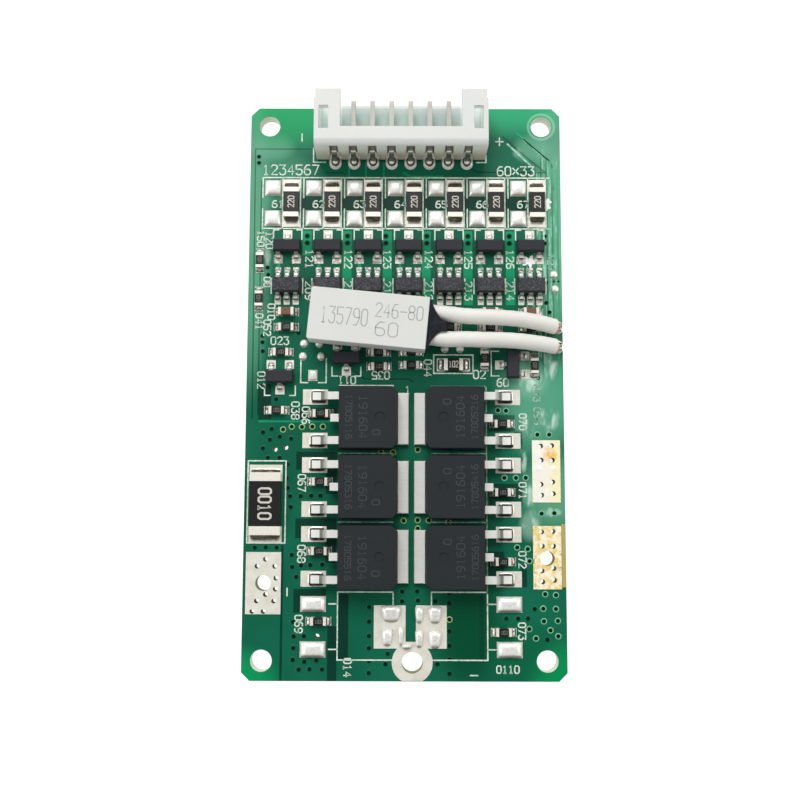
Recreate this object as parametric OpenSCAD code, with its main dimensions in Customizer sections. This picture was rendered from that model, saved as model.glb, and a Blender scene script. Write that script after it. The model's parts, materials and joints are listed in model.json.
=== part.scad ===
// Battery management board: a green circuit board that carries six power
// transistors, a current shunt, a row of seven balancing cells, an eight-way
// side-entry header and a thermal switch on two short sleeved leads.
// +Z points up out of the component side, +Y towards the header.  The origin
// is the middle of the four mounting holes, on the underside of the board.

/* [Board] */
// Width of the board, along the header edge
board_w = 33; // [33:0.5:45]
// Length of the board, from output edge to header edge
board_l = 60; // [60:0.5:80]
// Thickness of the laminate
board_t = 1.6; // [0.8:0.1:2.4]
// Size of the cut on each corner
board_chamfer = 0.85; // [0.2:0.05:1.2]
// Diameter of the four mounting holes
mount_hole_d = 2.2; // [1.6:0.1:2.6]
// Distance of the mounting holes from the board's edges
mount_inset = 2; // [1.8:0.1:2.4]
// Thickness of the tinned and gilded copper pads
pad_t = 0.05; // [0.03:0.01:0.15]

/* [Header] */
// Number of contacts
ways = 8; // [2:1:8]
// Distance between contacts
header_pitch = 2; // [1.8:0.1:2.3]
// Distance from the outer contact to the end of the housing
header_end = 1.95; // [1.9:0.05:2.4]
// Height of the housing
header_h = 4.8; // [4.4:0.1:6]
// Depth of the housing, from mouth to rear wall
header_d = 5.85; // [5.4:0.05:7]
// How far the mouth stands past the board's edge
header_overhang = 0.2; // [0:0.05:1]
// Distance of the header's middle from the board's middle
header_x = -0.45; // [-1:0.05:1]
// Thickness of the housing's floor and roof
header_wall = 0.8; // [0.5:0.05:1]
// Thickness of the housing's side walls
header_side = 0.5; // [0.3:0.05:0.6]
// Depth of the back block that holds the contacts
header_back = 1.85; // [1.4:0.05:2.4]
// Width of the two end towers beside the cut-back roof
tower_w = 2.7; // [2.5:0.05:2.9]
// Width of the window in each tower
window_w = 0.95; // [0.5:0.05:1.2]
// Length of the window in each tower
window_l = 2.4; // [1:0.1:3]
// Side of the square contacts
pin_w = 0.5; // [0.4:0.05:0.6]
// Height of the contacts above the board
pin_z = 2.3; // [2:0.05:2.6]
// How far the contact tips stay behind the mouth
pin_setback = 0.35; // [0.1:0.05:1]
// How far the contact tails reach below the board
pin_tail = 1.4; // [1.2:0.1:2]
// Diameter of the plated holes for the contacts
pin_hole_d = 0.9; // [0.88:0.01:1.1]

/* [Balancing cells] */
// Number of cells
cells = 7; // [1:1:7]
// Distance between the cells' balancing resistors
cell_pitch = 4.34; // [4.2:0.02:4.4]
// Length of a balancing resistor
bal_l = 3.2; // [2.8:0.1:3.4]
// Width of a balancing resistor
bal_w = 1.6; // [1.3:0.05:1.7]
// Height of a balancing resistor
bal_h = 0.6; // [0.4:0.05:0.8]
// Length of the resistor's end terminals
bal_end = 0.5; // [0.3:0.05:0.7]
// Side of the square spare pads beside each resistor
spare_pad = 1.7; // [1.4:0.05:1.8]

/* [Small packages] */
// Distance between the cells' transistors and monitors
sot_pitch = 4.267; // [4:0.05:4.4]
// Length of a small package
sot_l = 2.9; // [2.7:0.05:3.1]
// Width of a three-lead package
sot3_w = 1.3; // [1.2:0.05:1.4]
// Height of a three-lead package
sot3_h = 1; // [0.9:0.05:1.2]
// Width across the leads of a three-lead package
sot3_span = 2.4; // [2.2:0.05:2.6]
// Width of a six-lead monitor
sot6_w = 1.6; // [1.5:0.05:1.7]
// Height of a six-lead monitor
sot6_h = 1.1; // [1:0.05:1.3]
// Width across the leads of a six-lead monitor
sot6_span = 2.8; // [2.7:0.05:3]
// Distance between neighbouring leads
lead_pitch = 0.95; // [0.85:0.05:1]
// Width of a lead
lead_w = 0.4; // [0.3:0.05:0.5]
// Thickness of a lead
lead_t = 0.13; // [0.1:0.01:0.2]
// Length of a small chip resistor or capacitor
chip_l = 1.6; // [1.4:0.05:1.7]
// Width of a small chip
chip_w = 0.8; // [0.7:0.05:0.9]
// Height of a chip resistor
chip_h = 0.45; // [0.35:0.05:0.55]
// Height of a chip capacitor
cap_h = 0.8; // [0.6:0.05:0.9]
// Length of a small chip's end terminals
chip_end = 0.3; // [0.2:0.05:0.45]

/* [Power transistors] */
// Number of transistor rows
fet_rows = 3; // [1:1:3]
// Width of the moulded body
fet_w = 6.6; // [6.2:0.05:6.8]
// Length of the moulded body, from leads to tab
fet_l = 6.1; // [5.8:0.05:6.3]
// Height of the moulded body
fet_h = 2.3; // [2:0.05:2.6]
// Clear space between one row and the next
fet_gap = 0.46; // [0.3:0.02:0.5]
// Half the space between facing tabs
tab_gap = 0.33; // [0.2:0.01:0.5]
// Width of the tab
tab_w = 5.3; // [4.8:0.05:5.5]
// How far the tab stands out of the body
tab_l = 1.05; // [0.8:0.05:1.2]
// Thickness of the tab and the leads
tab_t = 0.5; // [0.4:0.02:0.6]
// Distance from the middle lead to an outer lead
fet_lead_pitch = 2.3; // [2.2:0.02:2.4]
// Width of a transistor lead
fet_lead_w = 0.8; // [0.6:0.05:0.9]
// Reach of the outer leads from the body
fet_lead_l = 2.75; // [2.5:0.05:2.9]
// Length of the cropped middle lead
fet_stub_l = 0.85; // [0.5:0.05:1]
// Cut on the body's two tab-side corners
fet_chamfer = 0.75; // [0.3:0.05:0.9]

/* [Shunt] */
// Length of the current shunt
shunt_l = 6.4; // [6:0.1:6.6]
// Width of the current shunt
shunt_w = 3.2; // [2.8:0.1:3.4]
// Height of the current shunt
shunt_h = 0.65; // [0.5:0.05:1]
// Length of its end terminals
shunt_end = 0.9; // [0.5:0.05:1.2]

/* [Thermal switch] */
// Length of the switch's case
switch_l = 12.1; // [11:0.1:12.4]
// Width of the case
switch_w = 5.4; // [5:0.1:5.6]
// Thickness of the case
switch_h = 2.4; // [2:0.1:3]
// Thickness of the case's wall round the potting
switch_wall = 0.35; // [0.25:0.05:0.5]
// Turn of the case on the board, in degrees
switch_turn = -5.4; // [-7:0.1:-4]
// Depth of the potting in the case's mouth
potting_d = 2; // [1.5:0.1:3]
// Reach of the potting's tongue between the leads
tongue_l = 2; // [1:0.1:2.2]
// Distance between the two leads at the case
lead_gap = 2.6; // [2.3:0.05:2.8]
// Outer diameter of the sleeves
sleeve_d = 1.64; // [1.4:0.02:1.7]
// Wall of the sleeves
sleeve_wall = 0.3; // [0.2:0.02:0.35]
// Diameter of the conductors
wire_d = 0.9; // [0.6:0.02:0.94]

/* [Solder pads] */
// Width of the tinned battery pad
battery_pad_w = 3.6; // [3:0.1:3.7]
// Length of the tinned battery pad
battery_pad_l = 6.25; // [5:0.05:6.5]
// Diameter of the wire hole in the battery pad
battery_hole_d = 1.6; // [1:0.1:2]
// Width of the two gilded pads
gold_pad_w = 2.9; // [2.5:0.1:3]
// Length of the two gilded pads
gold_pad_l = 6.4; // [5.5:0.1:6.6]
// Diameter of the wire hole in the lower gilded pad
gold_hole_d = 1.5; // [1:0.1:1.7]
// Diameter of the output hole
output_hole_d = 2.15; // [1.5:0.05:2.4]
// Diameter of the tinned ring round the output hole
output_ring_d = 4.15; // [3.4:0.05:4.2]
// Diameter of the small stitching holes in the pads
via_d = 0.5; // [0.3:0.05:0.55]

/* [Hidden] */
$fn = 48;
fit = 0.02;          // clearance of a round piece in its bore
top = board_t;
seat = board_t + pad_t;
left_x = -board_w / 2;
right_x = board_w / 2;
top_y = board_l / 2;
bottom_y = -board_l / 2;

// Header
header_w = (ways - 1) * header_pitch + 2 * header_end;
header_rear = top_y + header_overhang - header_d;
leg_y = header_rear - 0.1;
bend_r = 0.35;
slot_w = 0.9;
slot_d = 0.55;
slot_roof = 0.65;    // plastic above the contact slots
foot_slot_w = 1.36;
foot_slot_d = 1.05;
foot_slot_h = 0.9;
header_pad = [1.3, 2];
window_side = 0.5;   // plastic left outside each tower window
corner_r = 0.6;      // round on the housing's upper rear edge
lead_in = 0.7;       // slope inside the mouth's lower edge
tower_front = 0.95;  // length of the towers' slimmer fronts
tower_ease = 0.12;   // how much slimmer they are
tail_point = 0.3;
tip_taper = 0.4;
wick_r = 0.85;       // foot of the solder under the board, its height and its hollow flank
wick_h = 1;
wick_flank = 0.95;
fill_gap = 0.3;      // how far the solder stays below the board's top
function pin_x(i) = header_x + (i - 1 - (ways - 1) / 2) * header_pitch;

// Balancing cells, counted from the left edge
first_pad_x = left_x + 2.45;
res_offset = 1.97;
bal_y = header_rear - 4.8;
spare_dy = 1.65;
bal_pad = [bal_w + 0.15, 1.25];
function pad_x(i) = first_pad_x + (i - 1) * cell_pitch;
function res_x(i) = pad_x(i) + res_offset;

// Small packages, in rows under the cells
first_sot_x = left_x + 4.07;
sot3_y = bal_y - 4.75;
sot6_y = sot3_y - 4.2;
caprow_y = sot6_y - 2.8;
resrow_y = caprow_y - 1.6;
standoff = 0.05;
function sot_x(i) = first_sot_x + (i - 1) * sot_pitch;

// Power transistors, in rows counted up from the output edge
fet_pitch = fet_w + fet_gap;
fet_axis = 0.69;
first_fet_y = resrow_y - 9.62;
fet_shoulder = 1.4;
fet_foot = 0.85;
fet_lead_z = 0.95;   // middle of the leads where they leave the body
fet_embed = 0.7;
fet_pad = [2.6, 1.6];
fet_pad_y = 2.26;
tab_start = 1.9;     // from the body's lead side to the buried edge of the tab
eject_x = 1.2;       // round ejector mark, off the body's middle towards the tab
eject_d = 1;
eject_depth = 0.06;
fet_pad_reach = fet_lead_l + 1.05;
function fet_y(row) = first_fet_y - (row - 1) * fet_pitch;
fet_cx = tab_gap + tab_l + fet_l / 2;

// Shunt and battery pad share the left edge
edge_gap = 0.35;
shunt_x = left_x + 2.2;
shunt_y = bottom_y + 17.8;
shunt_pad_l = 1.7;
battery_x = left_x + edge_gap + battery_pad_w / 2 - 0.05;
battery_y = bottom_y + 9.75;
gold_x = right_x - edge_gap - gold_pad_w / 2 - 0.1;
gold_y = [bottom_y + 21.2, bottom_y + 12.4];
output_x = 0.8;
output_y = bottom_y + 1.85;
output_block = [7.4, 4.3];
output_slot = 1.05;
edge_strip = 0.06;   // bare laminate at the cut edge of the output ring

// Thermal switch: its case lies on the six-lead monitors, its leads end at the right edge
switch_x = right_x - 20.24;
switch_y = sot6_y - 4.05;
switch_z = seat + standoff + sot6_h + switch_h / 2;
bead = 0.3;          // potting outside the case's mouth
bead_h = 1.9;
wire_in = 1.2;       // depth of the conductors in the potting
sleeve_r = sleeve_d / 2;
wire_r = wire_d / 2;
sides = 16;
wire_sides = 12;

// Routes of the two leads past the tongue: x from the right edge, y from the
// switch's middle, z from the board's top.
route_1 = [[-10.5, 0.45, 2.36], [-8.5, 0.38, 2.26], [-6.45, 0.32, 2.08],
           [-4.4, 0.19, 1.78], [-2.35, -0.13, 1.42], [-1.3, -0.33, 1.04]];
route_2 = [[-10.5, -1.95, 2.36], [-8.5, -1.99, 2.26], [-6.45, -1.99, 2.04],
           [-4.4, -2.07, 1.7], [-2.35, -2.27, 1.34], [-1.3, -2.41, 1.02]];
end_1 = [-0.32, -0.47, 0.62];
end_2 = [-0.32, -2.51, 0.62];
sleeve_stop = 0.36;  // share of the last stretch that the sleeve covers

function turned(u, v) = [switch_x + u * cos(switch_turn) - v * sin(switch_turn),
                         switch_y + u * sin(switch_turn) + v * cos(switch_turn),
                         switch_z];
function placed(p) = [right_x + p[0], switch_y + p[1], top + p[2]];
function routed(n) = [for (p = n == 1 ? route_1 : route_2) placed(p)];
function far_end(n) = placed(n == 1 ? end_1 : end_2);
function lead_v(n) = (n == 1 ? 1 : -1) * lead_gap / 2 + 0.1;
function mix(a, b, t) = a + (b - a) * t;

// Catmull-Rom curve through the points of list p, s samples to a stretch
function curve_at(a, b, c, d, t) =
    0.5 * (2 * b + (c - a) * t + (2 * a - 5 * b + 4 * c - d) * t * t
           + (3 * b - a - 3 * c + d) * t * t * t);
function curved(p, s) =
    [for (i = [1 : len(p) - 3]) for (k = [0 : s - 1])
        curve_at(p[i - 1], p[i], p[i + 1], p[i + 2], k / s)];

// Centre line of lead n from the case to u0 past its mouth and to its far end
function lead_line(n, u0, stop) =
    let (v = lead_v(n),
         start = turned(switch_l / 2 + u0, v),
         clear = turned(switch_l / 2 + tongue_l + 0.3, v),
         r = routed(n),
         last = r[len(r) - 1],
         tip = far_end(n),
         spine = concat([start, clear], r, [tip]))
    concat([start], curved(spine, 3), [last, mix(last, tip, stop)]);

function unit(v) = v / norm(v);
function heading(p, i) = unit(p[min(i + 1, len(p) - 1)] - p[max(i - 1, 0)]);
function ring(p, i, r, n) =
    let (t = heading(p, i), s = unit(cross(t, [0, 0, 1])), u = cross(s, t))
    [for (k = [0 : n - 1]) p[i] + r * (cos(360 * k / n) * s + sin(360 * k / n) * u)];
function rings(p, r, n) = [for (i = [0 : len(p) - 1]) each ring(p, i, r, n)];
function wall_faces(m, n, base) =
    [for (i = [0 : m - 2]) for (k = [0 : n - 1])
        let (j = (k + 1) % n, a = base + i * n)
        [a + k, a + j, a + n + j, a + n + k]];
function flipped(faces) = [for (f = faces) [for (k = [len(f) - 1 : -1 : 0]) f[k]]];

via_battery = [[0.2, 2.4], [-0.65, 1.7], [1.15, 1.7], [1.3, 0.5], [1.25, -0.6],
               [0.25, -1.15], [-0.65, -1.8], [1.1, -1.8], [-1.1, -2.85], [0.05, -2.85]];
via_gold = [[-0.55, 2.6], [0.6, 2.65], [-0.5, 1.15], [0.65, 1.15],
            [-0.55, -1.35], [0.65, -1.1], [-0.5, -2.45], [0.7, -2.3]];
via_single = [[left_x + 4.2, bottom_y + 23.6], [left_x + 3.1, bottom_y + 23.4],
              [left_x + 7.65, bottom_y + 4.45]];

// Small chips that are not part of a cell: [x, y, turn]
loose_resistors = concat(
    [[left_x + 1.2, sot3_y - 1.5, 90], [left_x + 1.15, sot6_y - 1.4, 90],
     [left_x + 3.55, resrow_y - 2.65, 0], [left_x + 3.2, resrow_y - 8.75, 0],
     [left_x + 13.75, resrow_y - 2.65, 0], [left_x + 13.8, resrow_y - 4.15, 0],
     [left_x + 17.15, resrow_y - 2.6, 0], [left_x + 17.15, resrow_y - 4, 0],
     [right_x - 8.2, resrow_y - 3.3, 90], [right_x - 3, resrow_y - 4.05, 90]],
    [for (row = [1 : 4]) [fet_axis - 9.42, fet_y(row) + 0.55, 0]],
    [for (row = [1 : 4]) [fet_axis + 9.38, fet_y(row) - 0.5, 0]]);
mid_resistor = [right_x - 11.45, resrow_y - 3.95];
mid_l = 2;
mid_w = 1.25;
mid_end = 0.4;
end_wrap = 0.04;     // metal round the end of a chip's core
loose_transistors = [[left_x + 3.5, resrow_y - 5.3, 180], [left_x + 10.4, resrow_y - 3.3, 180],
                     [right_x - 5.3, resrow_y - 3.95, 90]];
solder_dots = [[left_x + 5.95, resrow_y - 1.75], [left_x + 5.85, resrow_y - 3.1],
               [left_x + 7.75, resrow_y - 3.1], [left_x + 7.55, resrow_y - 1.75],
               [right_x - 0.85, sot6_y + 1.25], [right_x - 0.75, sot6_y - 0.3],
               [right_x - 12.35, resrow_y - 2.25], [right_x - 10.75, resrow_y - 2.25]];
dot_d = 0.85;
mound_r = 0.68;      // solder mound on each lead's end, and the radius of its top
mound_h = 0.9;
mound_curve = 1.3;
chip_pad_l = 0.9;
sot_pad_l = 0.9;

module plate(size, h) translate([-size[0] / 2, -size[1] / 2, 0]) cube([size[0], size[1], h]);

module hole(x, y, d) translate([x, y, -1]) cylinder(d = d, h = board_t + 4);

// ---------------------------------------------------------------- board
module via_holes() {
    for (p = via_battery) hole(battery_x + p[0], battery_y + p[1], via_d);
    for (y = gold_y) for (p = via_gold) hole(gold_x + p[0], y + p[1], via_d);
}

module wire_holes() {
    hole(battery_x, battery_y, battery_hole_d);
    hole(gold_x, gold_y[1] - 0.1, gold_hole_d);
    hole(output_x, output_y, output_hole_d);
}

module board_outline() {
    c = board_chamfer;
    polygon([[left_x + c, bottom_y], [right_x - c, bottom_y], [right_x, bottom_y + c],
             [right_x, top_y - c], [right_x - c, top_y], [left_x + c, top_y],
             [left_x, top_y - c], [left_x, bottom_y + c]]);
}

module board() color("seagreen") difference() {
    linear_extrude(board_t) board_outline();
    for (x = [left_x + mount_inset, right_x - mount_inset])
        for (y = [bottom_y + mount_inset, top_y - mount_inset]) hole(x, y, mount_hole_d);
    for (i = [1 : ways]) hole(pin_x(i), leg_y, pin_hole_d);
    for (p = via_single) hole(p[0], p[1], via_d);
    wire_holes();
    via_holes();
}

// ---------------------------------------------------------------- copper
module pad(x, y, size) translate([x, y, top]) plate(size, pad_t);

module header_pads() {
    r = header_pad[0] / 2;
    for (i = [1 : ways]) translate([pin_x(i), leg_y, top]) linear_extrude(pad_t) {
        translate([-r, -header_pad[1] / 2 + r]) square([2 * r, header_pad[1] - 2 * r]);
        for (s = [-1, 1]) translate([0, s * (header_pad[1] / 2 - r)]) circle(r);
    }
}

module cell_pads() for (i = [1 : cells]) {
    for (s = [-1, 1]) {
        pad(pad_x(i), bal_y + s * spare_dy, [spare_pad, spare_pad]);
        pad(res_x(i), bal_y + s * (bal_l / 2 + 0.35), bal_pad);
    }
    sot_pads(sot_x(i), sot3_y, 3, 0);
    sot_pads(sot_x(i), sot6_y, 6, 0);
    chip_pads(sot_x(i), caprow_y, 0);
    chip_pads(sot_x(i), resrow_y, 0);
}

module chip_pads(x, y, turn) translate([x, y, top]) rotate(turn)
    for (s = [-1, 1]) translate([s * (chip_l / 2 + 0.05), 0, 0]) plate([chip_pad_l, chip_w + 0.05], pad_t);

module sot_pads(x, y, leads, turn) translate([x, y, top]) rotate(turn)
    for (p = lead_places(leads))
        translate([p[0], p[1] * (lead_span(leads) / 2 + 0.15), 0])
            plate([sot_pad_w(leads), sot_pad_l], pad_t);

module mid_chip_pads() for (s = [-1, 1])
    pad(mid_resistor[0] + s * (mid_l / 2 + 0.3), mid_resistor[1], [0.85, mid_w + 0.1]);

module fet_pads() for (row = [1 : 4]) for (side = [-1, 1])
    translate([fet_axis, fet_y(row), top]) rotate(side < 0 ? 0 : 180)
        translate([-fet_cx - fet_l / 2 - fet_pad_reach, 0, 0])
            for (s = [-1, 1]) translate([0, s * fet_pad_y - fet_pad[1] / 2, 0])
                cube([fet_pad[0], fet_pad[1], pad_t]);

module tab_pads() for (n = [1 : 2 * fet_rows]) at_fet(n)
    translate([-fet_l / 2 + tab_start, -tab_w / 2 - pad_t, -pad_t])
        cube([fet_l + tab_l - tab_start + pad_t, tab_w + 2 * pad_t, pad_t]);

module shunt_pads() for (s = [-1, 1])
    pad(shunt_x, shunt_y + s * (shunt_l / 2 - 0.05), [shunt_w + 0.2, shunt_pad_l]);

module battery_pad() pad(battery_x, battery_y, [battery_pad_w, battery_pad_l]);

module output_pad() translate([0, 0, top]) linear_extrude(pad_t) difference() {
    union() {
        translate([output_x, output_y]) circle(d = output_ring_d);
        translate([output_x - output_block[0] / 2 - 0.2, output_y + 1.4]) square(output_block);
    }
    translate([output_x - output_slot / 2 - 0.15, output_y + output_ring_d / 2])
        square([output_slot, output_block[1]]);
    translate([output_x - output_ring_d, bottom_y - output_ring_d + edge_strip])
        square([2 * output_ring_d, output_ring_d]);
}

module tinned_pads() color("silver") difference() {
    union() {
        header_pads();
        cell_pads();
        fet_pads();
        tab_pads();
        shunt_pads();
        battery_pad();
        output_pad();
        mid_chip_pads();
        for (p = loose_resistors) chip_pads(p[0], p[1], p[2]);
        for (p = loose_transistors) sot_pads(p[0], p[1], 3, p[2]);
        for (p = solder_dots) translate([p[0], p[1], top]) cylinder(d = dot_d, h = pad_t);
        pad(left_x + 6.9, resrow_y - 5.1, [0.95, 1.15]);
    }
    for (i = [1 : ways]) hole(pin_x(i), leg_y, pin_hole_d);
    wire_holes();
    via_holes();
}

module gold_pads() color("goldenrod") difference() {
    for (y = gold_y) pad(gold_x, y, [gold_pad_w, gold_pad_l]);
    wire_holes();
    via_holes();
}

// ---------------------------------------------------------------- header
// Side outline of the housing: a block with its upper rear edge rounded
module housing_side() {
    r = corner_r;
    translate([r, 0]) square([header_d - r, header_h]);
    square([header_d, header_h - r]);
    translate([r, header_h - r]) circle(r);
}

module housing_windows() {
    inner = header_w / 2 - header_side;
    translate([-inner, header_back, header_wall])
        cube([2 * inner, header_d, header_h - 2 * header_wall]);
    translate([tower_w - header_w / 2, header_back, header_wall])
        cube([header_w - 2 * tower_w, header_d, header_h]);
    for (s = [-1, 1])
        translate([s * (header_w / 2 - window_side - window_w / 2) - window_w / 2,
                   header_back - 0.2, header_h - header_wall - 1])
            cube([window_w, window_l, header_wall + 2]);
}

// Sloping lead-in along the mouth's floor, and the towers' slightly slimmer fronts
module housing_reliefs() {
    translate([-header_w / 2 + header_side, header_d, header_wall]) rotate([45, 0, 0])
        translate([0, -lead_in / 2, -lead_in / 2]) cube([header_w - 2 * header_side, lead_in, lead_in]);
    for (s = [0, 1]) mirror([s, 0, 0])
        translate([header_w / 2 - tower_ease, header_d - tower_front, -1])
            cube([1, header_d, header_h + 2]);
}

module contact_slots() for (i = [1 : ways]) translate([pin_x(i) - header_x, 0, 0]) {
    translate([-slot_w / 2, -1, -1]) cube([slot_w, slot_d + 1, header_h - slot_roof + 1]);
    translate([-foot_slot_w / 2, -1, -1]) cube([foot_slot_w, foot_slot_d + 1, foot_slot_h + 1]);
    translate([-pin_w / 2, -1, pin_z - pin_w / 2]) cube([pin_w, header_d, pin_w]);
}

module header_housing() color("whitesmoke") translate([header_x, header_rear, top]) difference() {
    translate([-header_w / 2, 0, 0]) rotate([90, 0, 90]) linear_extrude(header_w) housing_side();
    housing_windows();
    housing_reliefs();
    contact_slots();
}

// Side outline of one contact: tail, bend and blade
module contact_side() {
    w = pin_w;
    tip = header_d - pin_setback;
    bend = header_rear - leg_y;
    point = tail_point;
    translate([-w / 2 - bend, -top - pin_tail + point])
        square([w, top + pin_tail + pin_z - bend_r - point]);
    translate([-bend, -top - pin_tail])
        polygon([[-w / 4, 0], [w / 4, 0], [w / 2, point], [-w / 2, point]]);
    translate([bend_r - bend, pin_z - bend_r]) intersection() {
        difference() { circle(bend_r + w / 2); circle(bend_r - w / 2); }
        translate([-2, 0]) square(2);
    }
    translate([bend_r - bend, pin_z - w / 2]) square([tip - bend_r + bend - tip_taper, w]);
    translate([tip - tip_taper, pin_z])
        polygon([[0, -w / 2], [tip_taper, -w / 5], [tip_taper, w / 5], [0, w / 2]]);
}

module header_pin(i) color("silver") translate([pin_x(i), header_rear, top])
    translate([-pin_w / 2, 0, 0]) rotate([90, 0, 90]) linear_extrude(pin_w) contact_side();

// Solder that fills a contact's hole and wicks up its tail under the board
module contact_joint(i) translate([pin_x(i), leg_y, 0]) difference() {
    union() {
        cylinder(d = pin_hole_d, h = board_t - fill_gap);
        rotate_extrude() difference() {
            translate([0, -wick_h]) square([wick_r, wick_h]);
            translate([wick_r + 0.3, -wick_h - 0.15]) circle(wick_flank);
        }
    }
    translate([-pin_w / 2, -pin_w / 2, -2 * wick_h]) cube([pin_w, pin_w, board_t + 4 * wick_h]);
}

function wire_end(n) = let (r = routed(n)) [r[len(r) - 1], far_end(n)];

module along(a, b) {
    d = b - a;
    translate(a) rotate([0, acos(d[2] / norm(d)), atan2(d[1], d[0])]) children();
}

module wire_joint(n) {
    e = wire_end(n);
    difference() {
        translate([right_x - mound_r - fit, e[1][1], seat]) rotate_extrude() intersection() {
            translate([0, mound_h - mound_curve]) circle(mound_curve);
            square([mound_r, mound_h + 1]);
        }
        along(e[0], e[1]) cylinder(r = wire_r + fit, h = norm(e[1] - e[0]) + fit);
        along(mix(e[0], e[1], -sleeve_stop), e[1])
            cylinder(r = sleeve_r + fit, h = 2 * sleeve_stop * norm(e[1] - e[0]) + fit);
    }
}

module solder_joints() color("gainsboro") {
    for (i = [1 : ways]) contact_joint(i);
    for (n = [1, 2]) wire_joint(n);
}

// ---------------------------------------------------------------- thermal switch
module on_switch() translate([switch_x, switch_y, switch_z]) rotate(switch_turn) children();

module potting_pocket(h) translate([switch_l / 2 - potting_d, -switch_w / 2 + switch_wall, -h / 2])
    cube([potting_d, switch_w - 2 * switch_wall, h]);

module switch_case() color("aliceblue") on_switch() difference() {
    r = 0.25;
    translate([0, 0, -switch_h / 2]) linear_extrude(switch_h)
        translate([-switch_l / 2 + r, -switch_w / 2 + r]) {
            square([switch_l - r, switch_w - 2 * r]);
            translate([0, -r]) square([switch_l - r, switch_w]);
            translate([-r, 0]) square([r, switch_w - 2 * r]);
            for (y = [0, switch_w - 2 * r]) translate([0, y]) circle(r);
        }
    potting_pocket(switch_h - 2 * switch_wall);
    translate([0.1, 0, 0]) potting_pocket(switch_h - 2 * switch_wall);
}

// Outline of the tongue: its flanks sweep in from the mouth to a narrow tip
module tongue_outline() {
    tip = 0.42;
    root = switch_w / 2 - 0.55;
    steps = 8;
    function flank(t) = tip + (root - tip) * (1 - t) * (1 - t);
    side = [for (k = [0 : steps]) [bead + (tongue_l - bead) * k / steps, flank(k / steps)]];
    polygon(concat([[0, root]], side, [for (k = [steps : -1 : 0]) [side[k][0], -side[k][1]]], [[0, -root]]));
}

module lead_bore(n) translate([switch_l / 2, lead_v(n), 0]) rotate([0, 90, 0]) {
    translate([0, 0, 0.1]) cylinder(r = sleeve_r + fit, h = tongue_l + 1);
    translate([0, 0, -wire_in]) cylinder(r = wire_r + fit, h = tongue_l);
}

module switch_potting() color("dimgray") on_switch() difference() {
    union() {
        potting_pocket(switch_h - 2 * switch_wall);
        translate([switch_l / 2, 0, -bead_h / 2]) linear_extrude(bead_h) {
            translate([0, -switch_w / 2 + 0.15]) square([bead, switch_w - 0.3]);
            tongue_outline();
        }
    }
    for (n = [1, 2]) lead_bore(n);
}

module switch_sleeve(n) color("whitesmoke") {
    p = lead_line(n, 0.1, sleeve_stop);
    m = len(p);
    points = concat(rings(p, sleeve_r, sides), rings(p, sleeve_r - sleeve_wall, sides));
    inner = m * sides;
    ends = [for (k = [0 : sides - 1]) let (j = (k + 1) % sides, z = (m - 1) * sides)
            each [[k, inner + k, inner + j, j], [z + j, inner + z + j, inner + z + k, z + k]]];
    polyhedron(points, concat(wall_faces(m, sides, 0), flipped(wall_faces(m, sides, inner)), ends));
}

module switch_wire(n) color("peru") {
    p = lead_line(n, -wire_in, 1);
    m = len(p);
    polyhedron(rings(p, wire_r, wire_sides),
               concat(wall_faces(m, wire_sides, 0),
                      [[for (k = [wire_sides - 1 : -1 : 0]) k]],
                      [[for (k = [0 : wire_sides - 1]) (m - 1) * wire_sides + k]]));
}

// ---------------------------------------------------------------- chip parts
// Ceramic core of a chip, standing on the pads, turned about z
module chip_core(l, w, h) translate([0, 0, fit]) plate([l - 2 * end_wrap, w - 2 * fit], h - 2 * fit);

// The two metal ends that wrap a chip's core
module chip_ends(l, w, h, end) difference() {
    for (s = [-1, 1]) translate([s * (l - end) / 2, 0, 0]) plate([end, w], h);
    chip_core(l, w, h);
}

module at_cell(i) translate([res_x(i), bal_y, seat]) rotate(90) children();

module balance_resistor(i) color("black") at_cell(i) chip_core(bal_l, bal_w, bal_h);

module balance_terminals() color("silver")
    for (i = [1 : cells]) at_cell(i) chip_ends(bal_l, bal_w, bal_h, bal_end);

module at_resistors() {
    for (i = [1 : cells]) translate([sot_x(i), resrow_y, seat]) children();
    for (p = loose_resistors) translate([p[0], p[1], seat]) rotate(p[2]) children();
}

module at_mid() translate([mid_resistor[0], mid_resistor[1], seat]) children();

module at_capacitors() for (i = [1 : cells]) translate([sot_x(i), caprow_y, seat]) children();

module chip_resistors() color("black") {
    at_resistors() chip_core(chip_l, chip_w, chip_h);
    at_mid() chip_core(mid_l, mid_w, chip_h);
}

module chip_capacitors() color("sienna") at_capacitors() chip_core(chip_l, chip_w, cap_h);

module chip_terminals() color("silver") {
    at_resistors() chip_ends(chip_l, chip_w, chip_h, chip_end);
    at_mid() chip_ends(mid_l, mid_w, chip_h, mid_end);
    at_capacitors() chip_ends(chip_l, chip_w, cap_h, chip_end);
}

module at_shunt() translate([shunt_x, shunt_y, seat]) rotate(90) children();

module shunt_body() color("black") at_shunt() chip_core(shunt_l, shunt_w, shunt_h);

module shunt_terminals() color("silver") at_shunt() chip_ends(shunt_l, shunt_w, shunt_h, shunt_end);

// ---------------------------------------------------------------- moulded packages
// Cross-section of a moulded body of width w: drafted above and below a
// straight band from z1 to z2, where the leads come out
module mould_side(w, h, z1, z2, draft) {
    polygon([[-w / 2 + draft / 2, 0], [w / 2 - draft / 2, 0], [w / 2, z1], [w / 2, z2],
             [w / 2 - draft, h], [-w / 2 + draft, h], [-w / 2, z2], [-w / 2, z1]]);
}

module mould(l, w, h, z1, z2, draft) intersection() {
    translate([-l, 0, 0]) rotate([90, 0, 90]) linear_extrude(2 * l) mould_side(w, h, z1, z2, draft);
    translate([0, w, 0]) rotate([90, 0, 0]) linear_extrude(2 * w) mould_side(l, h, z1, z2, draft);
}

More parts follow.
